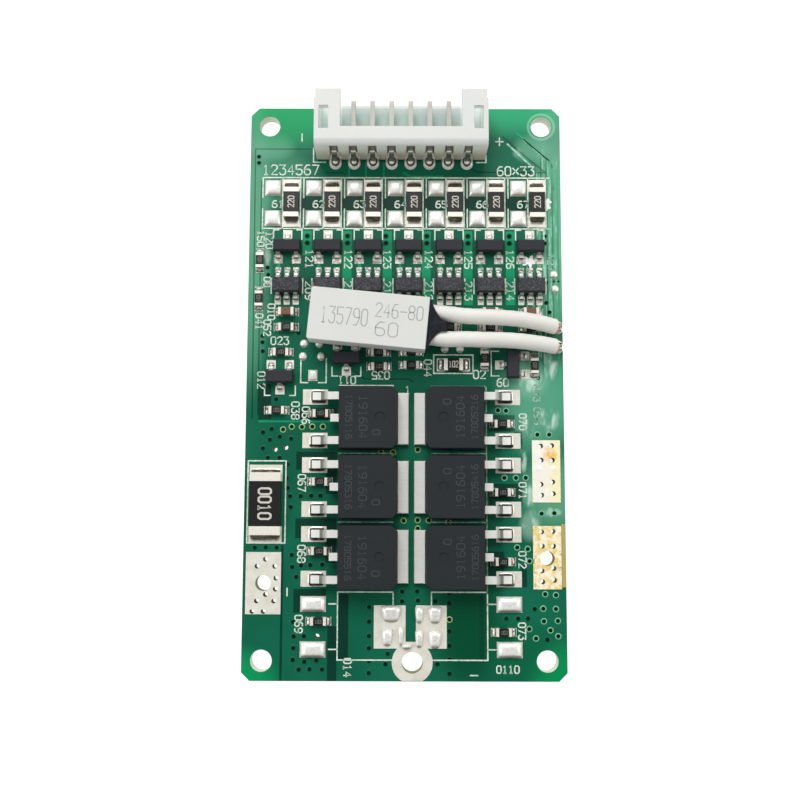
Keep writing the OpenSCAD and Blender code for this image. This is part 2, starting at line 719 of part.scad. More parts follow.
function lead_span(leads) = leads == 3 ? sot3_span : sot6_span;
function sot_pad_w(leads) = leads == 3 ? 0.95 : 0.62;
function body_w(leads) = leads == 3 ? sot3_w : sot6_w;
function body_h(leads) = leads == 3 ? sot3_h : sot6_h;
// Places of the leads: place along the body, and side
function lead_places(leads) = leads == 3
    ? [[0, 1], [-lead_pitch, -1], [lead_pitch, -1]]
    : [for (s = [-1, 1]) for (k = [-1, 0, 1]) [k * lead_pitch, s]];

module sot_body(leads) translate([0, 0, standoff]) {
    z = body_h(leads) * 0.45;
    mould(sot_l, body_w(leads), body_h(leads), z - lead_t, z + lead_t, 0.12);
}

// One gull-wing lead that leaves the body's side and stands on its pad
module gull_lead(leads) {
    y0 = body_w(leads) / 2;
    y3 = lead_span(leads) / 2;
    z = body_h(leads) * 0.45 + standoff;
    t = lead_t;
    y1 = y0 + 0.1;
    y2 = y3 - 0.3;
    translate([-lead_w / 2, 0, 0]) rotate([90, 0, 90]) linear_extrude(lead_w)
        polygon([[y0, z - t / 2], [y0, z + t / 2], [y1 + t / 2, z + t / 2], [y2 + t / 2, t],
                 [y3, t], [y3, 0], [y2 - t / 2, 0], [y1 - t / 2, z - t / 2]]);
}

module sot_leads(leads) for (p = lead_places(leads))
    translate([p[0], 0, 0]) rotate(p[1] > 0 ? 0 : 180) gull_lead(leads);

module at_loose() for (p = loose_transistors) translate([p[0], p[1], seat]) rotate(p[2]) children();

module cell_transistor(i) color("dimgray") translate([sot_x(i), sot3_y, seat]) sot_body(3);

module cell_monitor(i) color("dimgray") translate([sot_x(i), sot6_y, seat]) sot_body(6);

module small_transistors() color("dimgray") at_loose() sot_body(3);

module small_leads() color("silver") {
    for (i = [1 : cells]) {
        translate([sot_x(i), sot3_y, seat]) sot_leads(3);
        translate([sot_x(i), sot6_y, seat]) sot_leads(6);
    }
    at_loose() sot_leads(3);
}

// ---------------------------------------------------------------- power transistors
// Transistor n: odd numbers in the left column, even in the right, tabs facing
module at_fet(n) {
    row = ceil(n / 2);
    translate([fet_axis, fet_y(row), seat]) rotate(n % 2 == 1 ? 0 : 180)
        translate([-fet_cx, 0, 0]) children();
}

module tab_plate() translate([-fet_l / 2 + tab_start, -tab_w / 2, 0])
    cube([fet_l + tab_l - tab_start, tab_w, tab_t]);

// Side outline of an outer lead, from inside the body to its foot
module outer_lead_side() {
    t = tab_t;
    z = fet_lead_z + t / 2;
    x0 = fet_embed;
    x1 = -fet_shoulder;
    x2 = -(fet_lead_l - fet_foot);
    x3 = -fet_lead_l;
    polygon([[x0, z], [x1, z], [x2, t], [x3, t], [x3, 0], [x2 + 0.2, 0], [x1 + 0.2, z - t], [x0, z - t]]);
}

module fet_leads() translate([-fet_l / 2, 0, 0]) {
    for (s = [-1, 1]) translate([0, s * fet_lead_pitch + fet_lead_w / 2, 0])
        rotate([90, 0, 0]) linear_extrude(fet_lead_w) outer_lead_side();
    translate([-fet_stub_l, -fet_lead_w / 2, fet_lead_z - tab_t / 2])
        cube([fet_stub_l + fet_embed, fet_lead_w, tab_t]);
}

// Plan of the moulded body, cut at its two tab-side corners
module fet_plan() {
    a = fet_l / 2;
    b = fet_w / 2;
    c = fet_chamfer;
    polygon([[-a, -b], [a - c, -b], [a, -b + c], [a, b - c], [a - c, b], [-a, b]]);
}

module mosfet_body(n) color("black") at_fet(n) difference() {
    intersection() {
        mould(fet_l, fet_w, fet_h, fet_lead_z - tab_t / 2, fet_lead_z + tab_t / 2, 0.16);
        linear_extrude(fet_h) fet_plan();
    }
    tab_plate();
    fet_leads();
    translate([eject_x, 0, fet_h - eject_depth]) cylinder(d = eject_d, h = 1);
}

module mosfet_frame(n) color("silver") at_fet(n) {
    tab_plate();
    fet_leads();
}

board();
tinned_pads();
gold_pads();
header_housing();
solder_joints();
switch_case();
switch_potting();
switch_sleeve(1);  // switch_sleeve_1
switch_sleeve(2);  // switch_sleeve_2
switch_wire(1);  // switch_wire_1
switch_wire(2);  // switch_wire_2
shunt_body();
shunt_terminals();
balance_terminals();
small_transistors();
small_leads();
chip_resistors();
chip_capacitors();
chip_terminals();
for (i = [1 : ways]) header_pin(i);
for (i = [1 : cells]) balance_resistor(i);
for (i = [1 : cells]) cell_transistor(i);
for (i = [1 : cells]) cell_monitor(i);
for (n = [1 : 2 * fet_rows]) mosfet_body(n);
for (n = [1 : 2 * fet_rows]) mosfet_frame(n);
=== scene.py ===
# %% [markdown]
# # A battery management board, dressed for a studio picture
#
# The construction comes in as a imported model: sixty named pieces at their real size. This
# lesson gives every piece its finish and adds what is too fine or too soft for the
# construction: solder, printed marks, copper that shows through the green mask, the sleeves
# and the stranded leads. Lengths are millimetres until the last moment, when a mesh is
# written in metres.

# %% Load the frame and keep its box
import json
import math

import bpy
import numpy as np
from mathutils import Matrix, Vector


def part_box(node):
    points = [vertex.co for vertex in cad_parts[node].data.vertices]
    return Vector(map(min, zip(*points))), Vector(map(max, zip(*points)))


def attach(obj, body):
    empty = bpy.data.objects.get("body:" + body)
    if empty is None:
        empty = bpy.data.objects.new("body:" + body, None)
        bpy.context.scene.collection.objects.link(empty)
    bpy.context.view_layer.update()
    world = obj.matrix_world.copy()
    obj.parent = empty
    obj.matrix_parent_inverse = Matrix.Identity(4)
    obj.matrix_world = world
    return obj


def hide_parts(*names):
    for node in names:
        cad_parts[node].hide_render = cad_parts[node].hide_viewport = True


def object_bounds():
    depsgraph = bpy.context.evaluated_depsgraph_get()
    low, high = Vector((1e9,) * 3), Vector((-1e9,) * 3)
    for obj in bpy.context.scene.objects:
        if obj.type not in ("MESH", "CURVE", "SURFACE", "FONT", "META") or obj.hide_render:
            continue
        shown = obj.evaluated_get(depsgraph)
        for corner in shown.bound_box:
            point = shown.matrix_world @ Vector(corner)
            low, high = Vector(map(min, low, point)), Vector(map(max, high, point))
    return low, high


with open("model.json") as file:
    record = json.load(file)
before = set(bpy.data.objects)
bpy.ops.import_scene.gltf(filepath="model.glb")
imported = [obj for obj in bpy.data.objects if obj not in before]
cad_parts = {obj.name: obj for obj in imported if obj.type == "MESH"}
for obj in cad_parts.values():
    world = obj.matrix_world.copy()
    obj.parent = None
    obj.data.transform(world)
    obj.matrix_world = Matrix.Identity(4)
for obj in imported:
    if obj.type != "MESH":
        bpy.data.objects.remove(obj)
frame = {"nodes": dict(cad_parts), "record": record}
cad_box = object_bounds()
MM = 0.001
print(len(frame["nodes"]), "construction pieces loaded")


def box(*nodes):
    """Lowest and highest corner of the named pieces together, in millimetres."""
    corners = np.array([[list(c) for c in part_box(n)] for n in nodes]) / MM
    return corners[:, 0].min(0), corners[:, 1].max(0)


def middle(*nodes):
    """Middle of the named pieces' common box, in millimetres."""
    low, high = box(*nodes)
    return (low + high) / 2


# %% [markdown]
# ## Places
#
# Everything is placed from the pieces that are already there. The board gives its edges and
# its top, the copper pads stand a hair above it, and rows of parts give their own pitch.

# %% Measure the board and its rows
def names(stem, count):
    """Names of a row of pieces, from stem_1 to stem_count."""
    return [f"{stem}_{k}" for k in range(1, count + 1)]


def row(stem, count):
    """Middle x and y of each piece of a row."""
    return [middle(name)[:2] for name in names(stem, count)]


(left, bottom, _), (right, top, board_z) = box("board")
pad_z = box("tinned_pads")[1][2]
cells = row("balance_resistor", 7)
transistors = row("cell_transistor", 7)
monitors = row("cell_monitor", 7)
contacts = row("header_pin", 8)
fets = row("mosfet_body", 6)
fet_axis = (fets[0][0] + fets[1][0]) / 2
fet_off = abs(fets[0][0] - fet_axis)
fet_pitch = fets[0][1] - fets[2][1]
fet_rows = [fets[0][1] - k * fet_pitch for k in range(4)]
# half a power package along its leads, from its middle to its feet, and from its middle line
# to each outer lead; then the pitch of the small packages' feet
fet_half = 3.05
foot_reach = fet_half + 2.35
lead_off = 2.3
pin_pitch = 0.95
cell_y = cells[0][1]
cap_y = middle("chip_capacitors")[1]
low_y = monitors[0][1] - 4.4
spacing = frame["record"]["mounts"][0]["dims"]
hole_x, hole_y = spacing["spacing_x_mm"] / 2, spacing["spacing_y_mm"] / 2
print("board", round(right - left, 2), "x", round(top - bottom, 2), "mm, rows every",
      round(fet_pitch, 2), "mm")

# %% [markdown]
# ## Camera, light and floor
#
# Small boards are shot from straight above with a long-ish lens, leaning a few degrees
# towards the lower edge, so that the ends of raised parts show. A large soft light hangs
# beyond the header and makes the solder bright on its far slopes and dark on its near ones.

# %% Set the camera
eye = np.array([-0.35, -12.85, 104.22 + board_z])
lean = math.radians(6.246)
camera = bpy.data.objects.new("camera", bpy.data.cameras.new("camera"))
camera.data.lens = 45.39
camera.data.clip_start = 0.005
camera.location = eye * MM
camera.rotation_euler = (lean, math.radians(0.067), math.radians(0.155))
bpy.context.scene.collection.objects.link(camera)
bpy.context.scene.camera = camera
print("camera", round(eye[2]), "mm up")


# %% Hang the lights
def softbox(name, place, size, power):
    """A square area light at a place in millimetres, facing the middle of the board."""
    lamp = bpy.data.lights.new(name, "AREA")
    lamp.shape, lamp.size, lamp.energy = "SQUARE", size * MM, power
    stand = bpy.data.objects.new(name, lamp)
    stand.location = np.array(place) * MM
    aim = -stand.location.copy()
    stand.rotation_euler = aim.to_track_quat("-Z", "Y").to_euler()
    bpy.context.scene.collection.objects.link(stand)


softbox("far_softbox", (-40, 230, 260), 200, 0.95)
softbox("left_softbox", (-300, -40, 220), 160, 0.4)
softbox("right_softbox", (280, 30, 200), 140, 0.3)
print("three softboxes")


# %% [markdown]
# ## Shader maths in Python
#
# A material is a small program. Wrapping a node's socket in a class that knows `+`, `*` and
# `>` lets that program be read as a formula, and one method adds any other node.

# %% Wrap a socket
def sign(operation, swapped=False):
    """A method that adds one Math node, for one of Python's operators."""
    def act(self, *others):
        terms = (*others, self) if swapped else (self, *others)
        return self.maths(operation, *terms)
    return act


class Field:
    """A value that varies over a surface: a node's socket on which Python's operators work."""

    __add__ = __radd__ = sign("ADD")
    __mul__ = __rmul__ = sign("MULTIPLY")
    __sub__ = sign("SUBTRACT")
    __rsub__ = sign("SUBTRACT", swapped=True)
    __truediv__ = sign("DIVIDE")
    __gt__ = sign("GREATER_THAN")
    __lt__ = sign("LESS_THAN")
    __abs__ = sign("ABSOLUTE")
    most = sign("MAXIMUM")

    def __init__(self, tree, socket=None):
        self.tree, self.socket = tree, socket

    def node(self, kind, settings=None, values=None, out=0):
        """Adds a node of a kind, makes its settings, then gives values or links to its sockets."""
        made = self.tree.nodes.new(kind)
        settings = dict(settings or {})
        stops = settings.pop("stops", [])
        for name, value in settings.items():
            setattr(made, name, value)
        for k, (place, shade) in enumerate(stops):
            ramp = made.color_ramp.elements
            stop = ramp[k] if k < 2 else ramp.new(place)
            stop.position, stop.color = place, (*shade, 1)
        for key, value in (values or {}).items():
            if isinstance(value, Field):
                self.tree.links.new(value.socket, made.inputs[key])
            else:
                made.inputs[key].default_value = value
        return Field(self.tree, made.outputs[out])

    def maths(self, operation, *terms):
        return self.node("ShaderNodeMath", {"operation": operation}, dict(enumerate(terms)))

    def within(self, low, high):
        """0 at low and under, 1 at high and over, with a soft ramp between."""
        values = {"Value": self, "From Min": low, "From Max": high}
        return self.node("ShaderNodeMapRange", {"interpolation_type": "SMOOTHSTEP"}, values)

    def noise(self, size, detail=3, rough=0.5, stretch=(1, 1, 1)):
        """Cloudy pattern whose blotches are about size millimetres across, from 0 to 1."""
        place = self.node("ShaderNodeTexCoord", out=3)
        place = self.node("ShaderNodeMapping", None, {"Vector": place, "Scale": stretch})
        values = {"Vector": place, "Scale": 1 / (size * MM), "Detail": detail, "Roughness": rough}
        return self.node("ShaderNodeTexNoise", None, values)

    def places(self):
        """x, y and z of the surface in millimetres."""
        parts = self.node("ShaderNodeSeparateXYZ", None, {0: self.node("ShaderNodeTexCoord", out=3)})
        outs = parts.socket.node.outputs
        return [Field(self.tree, outs[k]) / MM for k in range(3)]

    def facing(self):
        """1 where the surface faces the lower edge, from the mesh's own attribute."""
        return self.node("ShaderNodeAttribute", {"attribute_name": "lower_side"}, out=2)

    def tint(self, base, other, share):
        """Colour base turning into colour other by share."""
        base, other = [(*colour(c), 1) if isinstance(c, str) else c for c in (base, other)]
        return self.node("ShaderNodeMix", {"data_type": "RGBA"}, {0: share, 6: base, 7: other}, 2)

    def bump(self, height, depth, strength=1.0, edge=0.0):
        """Normals of a relief depth millimetres high, with edges rounded over edge millimetres."""
        values = {"Height": height, "Distance": depth * MM, "Strength": strength}
        if edge:
            values["Normal"] = self.node("ShaderNodeBevel", {"samples": 4}, {"Radius": edge * MM})
        return self.node("ShaderNodeBump", None, values)


def colour(code):
    """A shader colour from the six hexadecimal digits of a screen colour."""
    screen = np.array([int(code[k:k + 2], 16) for k in (0, 2, 4)]) / 255
    linear = np.where(screen > 0.04045, ((screen + 0.055) / 1.055) ** 2.4, screen / 12.92)
    return tuple(float(c) for c in linear)


def material(name, recipe):
    """A material whose recipe gives the sockets of its Principled shader: links or plain values."""
    made = bpy.data.materials.new(name)
    made.use_nodes = True
    tree = made.node_tree
    shader = tree.nodes["Principled BSDF"]
    for socket, value in recipe(Field(tree)).items():
        if isinstance(value, Field):
            tree.links.new(value.socket, shader.inputs[socket])
        elif isinstance(value, tuple):
            shader.inputs[socket].default_value = (*value, 1)
        else:
            shader.inputs[socket].default_value = value
    return made


def two_tones(one, other, cloud, rough, span=None, rougher=0, relief=None, more=None):
    """Recipe of a surface that varies between two colours. cloud is its noise, span the part
    of the noise over which the colour turns, rougher what the noise adds to the roughness,
    relief the depth, strength and edge of its bump, and more any other sockets."""
    def recipe(f):
        grain = f.noise(*cloud)
        share = grain.within(*span) if span else grain
        look = {"Base Color": f.tint(one, other, share),
                "Roughness": rough + grain * rougher if rougher else rough}
        if relief:
            look["Normal"] = f.bump(grain, *relief)
        return look | (more or {})
    return recipe


def dress(finish, *nodes):
    """Gives the named construction pieces a finish."""
    for name in nodes:
        slots = frame["nodes"][name].data.materials
        for k in range(len(slots)):
            slots[k] = finish
    print(finish.name, "on", len(nodes), "piece(s)")


# %% Paint the room: dark straight above, where the camera hangs, and pale towards the walls
world = bpy.data.worlds.new("studio")
world.use_nodes = True
room = Field(world.node_tree)
height = room.node("ShaderNodeSeparateXYZ", None, {0: room.node("ShaderNodeTexCoord")}, 2)
stops = [(0.0, (0.55,) * 3), (0.55, (0.6,) * 3), (0.86, (0.16,) * 3), (1.0, (0.06,) * 3)]
tone = room.node("ShaderNodeValToRGB", {"stops": stops}, {0: height})
world.node_tree.links.new(tone.socket, world.node_tree.nodes["Background"].inputs["Color"])
bpy.context.scene.world = world
print(world.name, "lights the room in", len(stops), "steps")


# %% [markdown]
# ## Surfaces from arrays
#
# A new piece is worked out as whole arrays. A grid of points becomes quads, a polyline
# becomes a raised ribbon, a profile turned round an axis becomes rings, and many such parts
# make one mesh.

# %% Turn grids into meshes
def quads(rows, columns, closed=False):
    """Faces of a grid of points, row by row; closed joins the last column to the first."""
    r = np.arange(rows - 1)[:, None]
    c = np.arange(columns if closed else columns - 1)[None, :]
    d = (c + 1) % columns
    corners = [r * columns + c, r * columns + d, (r + 1) * columns + d, (r + 1) * columns + c]
    return np.stack([k + 0 * r for k in corners], -1).reshape(-1, 4)


def grid_part(points, closed=False):
    """Points of shape (rows, columns, 3) and their faces as one part."""
    rows, columns = points.shape[:2]
    return points.reshape(-1, 3), quads(rows, columns, closed).tolist()


def piece(name, parts, finish, smooth=True, shades=None, uv=None):
    """One named piece from parts in millimetres; shades picks a finish for each part."""
    points, faces, picks, base = [], [], [], 0
    for k, (p, f) in enumerate(parts):
        points.append(p)
        faces += [[v + base for v in face] for face in f]
        picks += [shades[k] if shades else 0] * len(f)
        base += len(p)
    mesh = bpy.data.meshes.new(name)
    mesh.from_pydata((np.vstack(points) * MM).tolist(), [], faces)
    for one in finish if isinstance(finish, list) else [finish]:
        mesh.materials.append(one)
    mesh.polygons.foreach_set("material_index", picks)
    mesh.polygons.foreach_set("use_smooth", [smooth] * len(faces))
    if uv is not None:
        layer = mesh.uv_layers.new(name="along")
        corner = np.zeros(len(mesh.loops), np.int32)
        mesh.loops.foreach_get("vertex_index", corner)
        layer.data.foreach_set("uv", uv[corner].ravel())
    mesh.update()
    made = bpy.data.objects.new(name, mesh)
    bpy.context.scene.collection.objects.link(made)
    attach(made, "root")
    print(name, "-", len(parts), "part(s),", len(faces), "faces")
    return made


# %% Blobs, rings, ribbons and slabs
def turned(x, y, u, v, turn):
    """The point u along and v across from x, y, in a frame turned by turn degrees."""
    a = math.radians(turn)
    return x + u * math.cos(a) - v * math.sin(a), y + u * math.sin(a) + v * math.cos(a)


def round_angles(count):
    """Angles of count points round a circle."""
    return np.arange(count) / count * 2 * np.pi


def blob(x, y, width, length, height, corner=0.35, swell=0.5, taper=0.0, cells_across=9):
    """A pillow of solder. On a square of u and v from -1 to 1, the corners are drawn in by the
    share corner, the height is (1 - u^4)^swell times (1 - v^4)^swell, and the width and height
    shrink towards v = -1 by the share taper."""
    t = np.sin(np.linspace(-1, 1, cells_across) * np.pi / 2)
    u, v = np.meshgrid(t, t)
    slim = 1 - taper * (1 - v) / 2
    px = u * np.sqrt(1 - corner * v * v / 2) * width / 2 * slim
    py = v * np.sqrt(1 - corner * u * u / 2) * length / 2
    pz = height * ((1 - u ** 4).clip(0) * (1 - v ** 4).clip(0)) ** swell * slim
    return grid_part(np.stack([x + px, y + py, pad_z - 0.005 + pz], -1))


def ring(x, y, z, profile, sides=18, stretch=0.0):
    """A profile of (radius, height) pairs turned round a point, from outside in. stretch pulls
    the two halves apart along y, which makes an oblong."""
    a = round_angles(sides)
    r = np.array(profile)
    shift = np.sign(np.sin(a)) * stretch / 2
    points = np.stack([x + r[:, :1] * np.cos(a), y + r[:, :1] * np.sin(a) + shift,
                       z + r[:, 1:] + 0 * a], -1)
    p, f = grid_part(points, closed=True)
    if r[-1, 0] < 0.12:
        f.append([len(p) - sides + k for k in range(sides)])
    return p, f


def ribbon(line, width, z, thick=0.02):
    """A raised line. Each point is pushed sideways by the mean normal of its two stretches,
    divided by the cosine of half their turn, so that the width stays even."""
    p = np.array(line, float)
    loop = len(p) > 2 and np.allclose(p[0], p[-1])
    p = p[:-1] if loop else p
    ahead = np.roll(p, -1, 0) - p
    ahead = ahead if loop else np.vstack([ahead[:-1], ahead[-2:-1]])
    behind = np.roll(ahead, 1, 0)
    if not loop:
        behind[0] = ahead[0]
    n1, n2 = [np.stack([-d[:, 1], d[:, 0]], -1) / np.linalg.norm(d, axis=1)[:, None]
              for d in (ahead, behind)]
    side = n1 + n2
    side = side / np.maximum((side * side).sum(1) / 2, 0.7)[:, None] * width / 2
    if not loop:
        p[0] -= ahead[0] / np.linalg.norm(ahead[0]) * width * 0.35
        p[-1] += ahead[-1] / np.linalg.norm(ahead[-1]) * width * 0.35
    rows = [np.c_[p + s * side, np.full(len(p), z + h)]
            for s, h in ((-1, 0), (-1, thick), (1, thick), (1, 0))]
    return grid_part(np.stack(rows), closed=loop)


def slab(outline, z, thick=0.02):
    """A flat raised field with the given corners, anticlockwise, and its walls."""
    p = np.array(outline, float)
    n = len(p)
    points = np.vstack([np.c_[p, np.full(n, z)], np.c_[p, np.full(n, z + thick)]])
    walls = [[k, (k + 1) % n, n + (k + 1) % n, n + k] for k in range(n)]
    return points, walls + [list(range(n, 2 * n))]


def rectangle(x0, y0, x1, y1):
    return [(x0, y0), (x1, y0), (x1, y1), (x0, y1)]


def marks(name, lines, width, finish, z, thick=0.02):
    """One piece of ribbons on the board."""
    return piece(name, [ribbon(line, width, z, thick) for line in lines], finish,
                 smooth=False)


def fields(name, corners, thick, finish):
    """One piece of oblong slabs on the board, each given by two corners."""
    return piece(name, [slab(rectangle(*c), board_z, thick) for c in corners], finish,
                 smooth=False)


def collar(x, y, width, length, reach, height, turn=0, sides=28):
    """Solder that climbs round a foot. Superellipses lead from the foot's outline to one that
    stands reach further out, and the height falls as (1 - s)^2 on the way."""
    a = round_angles(sides)
    s = np.linspace(1, 0, 5)[:, None]
    power = 2 / (7 - 3 * s)
    u = np.sign(np.cos(a)) * np.abs(np.cos(a)) ** power * (width / 2 + reach * s)
    v = np.sign(np.sin(a)) * np.abs(np.sin(a)) ** power * (length / 2 + reach * s)
    px, py = turned(x, y, u, v, turn)
    return grid_part(np.stack([px, py, pad_z - 0.004 + height * (1 - s) ** 2 + 0 * a], -1), closed=True)


def tube(path, radius, sides=20):
    """Rings of points round a path: the side direction is level, and the other is square to it
    and to the path. radius may be one number or one for each point."""
    p = np.array(path, float)
    ahead = np.gradient(p, axis=0)
    ahead /= np.linalg.norm(ahead, axis=1)[:, None]
    side = np.cross(ahead, [0, 0, 1])
    side /= np.linalg.norm(side, axis=1)[:, None]
    up = np.cross(side, ahead)
    a = round_angles(sides)[None, :, None]
    r = np.broadcast_to(radius, len(p))[:, None, None]
    return p[:, None] + r * (np.cos(a) * side[:, None] + np.sin(a) * up[:, None])


# %% [markdown]
# ## Green mask
#
# Solder mask is a thin glossy lacquer. Over bare laminate it looks dark and bluish, over
# copper it looks bright, and where flux was left after soldering it turns milky. The board
# takes the dark version and raised copper fields take the bright one. The white spots of
# flux also carry painted glints.

# %% Mix the mask's colours
def patch(x, y, middle_x, middle_y, reach_x, reach_y):
    """1 at a place, falling to 0 at its reach: a paraboloid cut off at nothing and eased."""
    u, v = (x - middle_x) / reach_x, (y - middle_y) / reach_y
    return (1 - u * u - v * v).within(0, 1)


# middle x and y, reach along x and y, colour and share of each place where the green differs
# the whitish patches at the two upper corners are painted glare of the light on the lacquer
GREENS = [
    (0, 12.0, 13.5, 7.0, "08402d", 0.4), (left + 2.2, 25.8, 3.0, 2.0, "8fd4b0", 0.35),
    (right - 3, 25.6, 2.4, 2.0, "8fd4b0", 0.35), (13.0, 0.8, 2.4, 2.6, "a9d4c0", 0.6),
    (12.9, -14.4, 1.4, 1.9, "a9cfbd", 0.4), (12.9, -11.3, 0.9, 1.5, "8fc4ac", 0.4),
    (left + 4, top + 1, 13, 6.5, "059a5c", 0.95), (right - 4, top + 1, 10, 5, "2fae78", 0.8),
    (left + 0.4, 15, 2.4, 18, "62a583", 0.75), (left + 3, 22.5, 4, 4, "4f9a77", 0.4),
    (right - 0.6, 17, 3.0, 16, "74b594", 0.7), (right - 2.6, -1.5, 5.5, 7, "5ea486", 0.75),
    (right - 1, -11, 4.5, 5, "63a582", 0.7), (left - 0.2, bottom - 0.5, 5, 4.5, "059155", 0.95),
    (right + 0.5, bottom - 0.5, 5.5, 5.5, "008a4c", 0.95), (6.5, -24.5, 4.5, 7.5, "00452a", 0.95),
    (11.5, -27, 4, 4, "005c38", 0.6), (0, 5, 14, 3.4, "0a4331", 0.4), (0, 22.6, 10, 2.8, "0a5f45", 0.5)]


def flux_and_glint_spots(f, x, y):
    """White spots on the mask beside the cells, the leads and the gold: dried flux, with painted glints
    along the tracks and edges.
    """
    spots = patch(x, y, 13.3, 13.3, 0.9, 0.9) * 0.5
    for *spot, share in FLUX_AND_GLINT_SPOTS:
        spots = spots.most(patch(x, y, *spot) * share)
    return (spots * f.noise(1.1, 2, 0.5, (1.7, 0.6, 1)).within(0.3, 0.75)).within(0.05, 1.0)


# middle x and y, reach along x and y, and strength of each white spot of flux and painted glint
FLUX_AND_GLINT_SPOTS = [
    (15.2, 2.6, 1.1, 2.4, 0.9), (14.4, -13.0, 2.4, 0.7, 0.8), (14.8, -3.4, 1.6, 1.8, 0.8),
    (14.2, 19.4, 0.6, 1.0, 1.0), (16.0, 24.0, 0.5, 0.9, 0.8), (12.4, 25.0, 1.3, 1.0, 0.5),
    (-14.6, 13.6, 0.7, 1.4, 0.6), (8.9, 4.2, 0.7, 0.8, 0.7), (12.6, -4.2, 1.2, 2.0, 0.5),
    (12.9, -14.2, 1.1, 1.3, 1.0), (12.8, -11.4, 0.8, 1.5, 0.8), (12.3, -7.0, 0.6, 2.6, 0.8),
    (13.2, 0.6, 1.7, 1.6, 1.0)]


def mask_recipe(dark, light, keep):
    """Lacquer between two greens. keep is the share of each place's own green that shows."""
    def recipe(f):
        x, y, z = f.places()
        green = f.tint(dark, light, f.noise(9, 2).within(0.3, 0.7))
        for *spot, code, share in GREENS:
            green = f.tint(green, code, patch(x, y, *spot) * (share * keep))
        # by the right edge: fine darker lines, and pale streaks between them that are painted glints on
        # the copper edges
        stripe = abs(f.maths("FRACT", x * 1.7) - 0.5).within(0.08, 0.22)
        right_streak_band = patch(x, y, right - 2.0, 13, 2.2, 14).within(0.0, 0.5)
        green = f.tint(green, "116c4a", (1 - stripe) * right_streak_band * (0.8 * keep))
        speck = f.noise(0.8, 3, 0.7, (2.0, 0.3, 1)).within(0.48, 0.62)
        green = f.tint(green, "a6dbc2", stripe * right_streak_band * speck * (0.6 * keep))
        # white spots: dried flux, and painted glints
        flux_and_glint = flux_and_glint_spots(f, x, y)
        green = f.tint(green, "cfe6da", flux_and_glint * 0.75)
        u, v = x - hole_x, y - hole_y
        off = f.maths("SQRT", u * u + v * v)
        green = f.tint(green, "a9d6bd", (1 - abs(off - 1.38).within(0.03, 0.22)) * (0.4 * keep))
        side = abs(z - board_z / 2) < board_z / 2 - 0.02
        weave = f.tint("8f9a55", "6c7a44", f.noise(0.25, 3, 0.7, (0.2, 0.2, 3)))
        # the walls of the corner holes are paler: pale laminate, and painted light as if lit from below
        # through the holes
        weave = f.tint(weave, "e2e4da", patch(abs(x), abs(y), hole_x, hole_y, 2, 2))
        rough = 0.3 + f.noise(0.8, 3) * 0.14 + flux_and_glint * 0.3 + side * 0.3
        return {"Base Color": f.tint(green, weave, side), "Roughness": rough,
                "Specular IOR Level": 0.16, "Normal": f.bump(f.noise(0.35, 3, 0.6), 0.01, 0.5)}
    return recipe


mask = material("mask_over_laminate", mask_recipe("0a5740", "10644a", 1.0))
mask_bright = material("mask_over_thin_copper", mask_recipe("0b8a5c", "129a69", 0.6))
mask_bare = material("mask_over_bare_laminate", mask_recipe("053327", "083d2f", 0.35))
dress(mask, "board")


# %% [markdown]
# ## Metals
#
# Tinned copper that never saw a part is flat and creamy. Solder that has flowed is a curved
# mirror with a few grains. Leads and contacts are plated steel or copper, brushed by the
# tools that formed them.

# %% Mix the metals
def flat_tin(f):
    """Flat tinned copper: mottled in the crowded rows, with a painted glow behind the header
    where the housing keeps the light off.
    """
    stain = f.noise(1.6, 4, 0.65).within(0.35, 0.7)
    tone = f.tint("e6e3d8", "d2cebf", stain)
    x, y, _ = f.places()
    crowded = (1 - abs(y - 13.1).within(1.4, 1.9)) * (abs(x) < 13.9)
    tone = f.tint(tone, "5f6f62", f.noise(0.3, 3, 0.6).within(0.4, 0.56) * (crowded * 0.8))
    # painted glow: the pads behind the header give off a little light of their own
    glow_behind_header = y > contacts[0][1] - 2.5
    return {"Base Color": tone, "Metallic": 0.2, "Roughness": 0.42 + stain * 0.14,
            "Emission Color": f.tint("000000", tone, glow_behind_header), "Emission Strength": 0.25,
            "Normal": f.bump(f.noise(0.3, 3, 0.7), 0.015, 0.5)}


def flowed_tin(f):
    """Clean solder: satin white on top, grey where it dips to the pad, and darkened by a painted
    shade where it faces the lower edge."""
    z = f.places()[2]
    grain = f.noise(0.3, 2, 0.5)
    rise = (z + grain * 0.06 - 0.03).within(pad_z - 0.01, pad_z + 0.2)
    tone = f.tint("f7f6f2", "e4e2db", grain.within(0.4, 0.7))
    tone = f.tint(tone, "77705f", f.facing().within(0.45, 0.85) * 0.85)
    return {"Base Color": f.tint("b9b8ac", tone, rise), "Metallic": 0.3,
            "Roughness": 0.26 + grain * 0.12, "Normal": f.bump(f.noise(0.9, 2), 0.05, 0.6)}


def molten(f, tone, metal, rough=0.26):
    """Sockets of solder that has run: a curved, slightly grainy mirror of a tone."""
    return {"Base Color": tone, "Metallic": metal, "Roughness": rough + f.noise(0.3, 2) * 0.14,
            "Normal": f.bump(f.noise(0.5, 2), 0.03, 0.5)}


def climbing_tin(clean_from, dark_from, dark):
    """Solder that climbs a foot: clean under clean_from and dark over dark_from, both in
    millimetres above the pad; the dark is scorched flux and painted shade on the steep solder."""
    def recipe(f):
        z = f.places()[2]
        flux_and_shade = (z + f.noise(0.5, 2) * 0.08 - 0.04).within(pad_z + clean_from, pad_z + dark_from)
        clean = f.tint("eae8e0", "cbc7ba", f.noise(0.4, 3))
        brown = f.tint(dark, "8b8270", f.noise(0.3, 3, 0.6, (0.5, 1.3, 1)).within(0.45, 0.75))
        return molten(f, f.tint(clean, brown, flux_and_shade), 0.5)
    return recipe


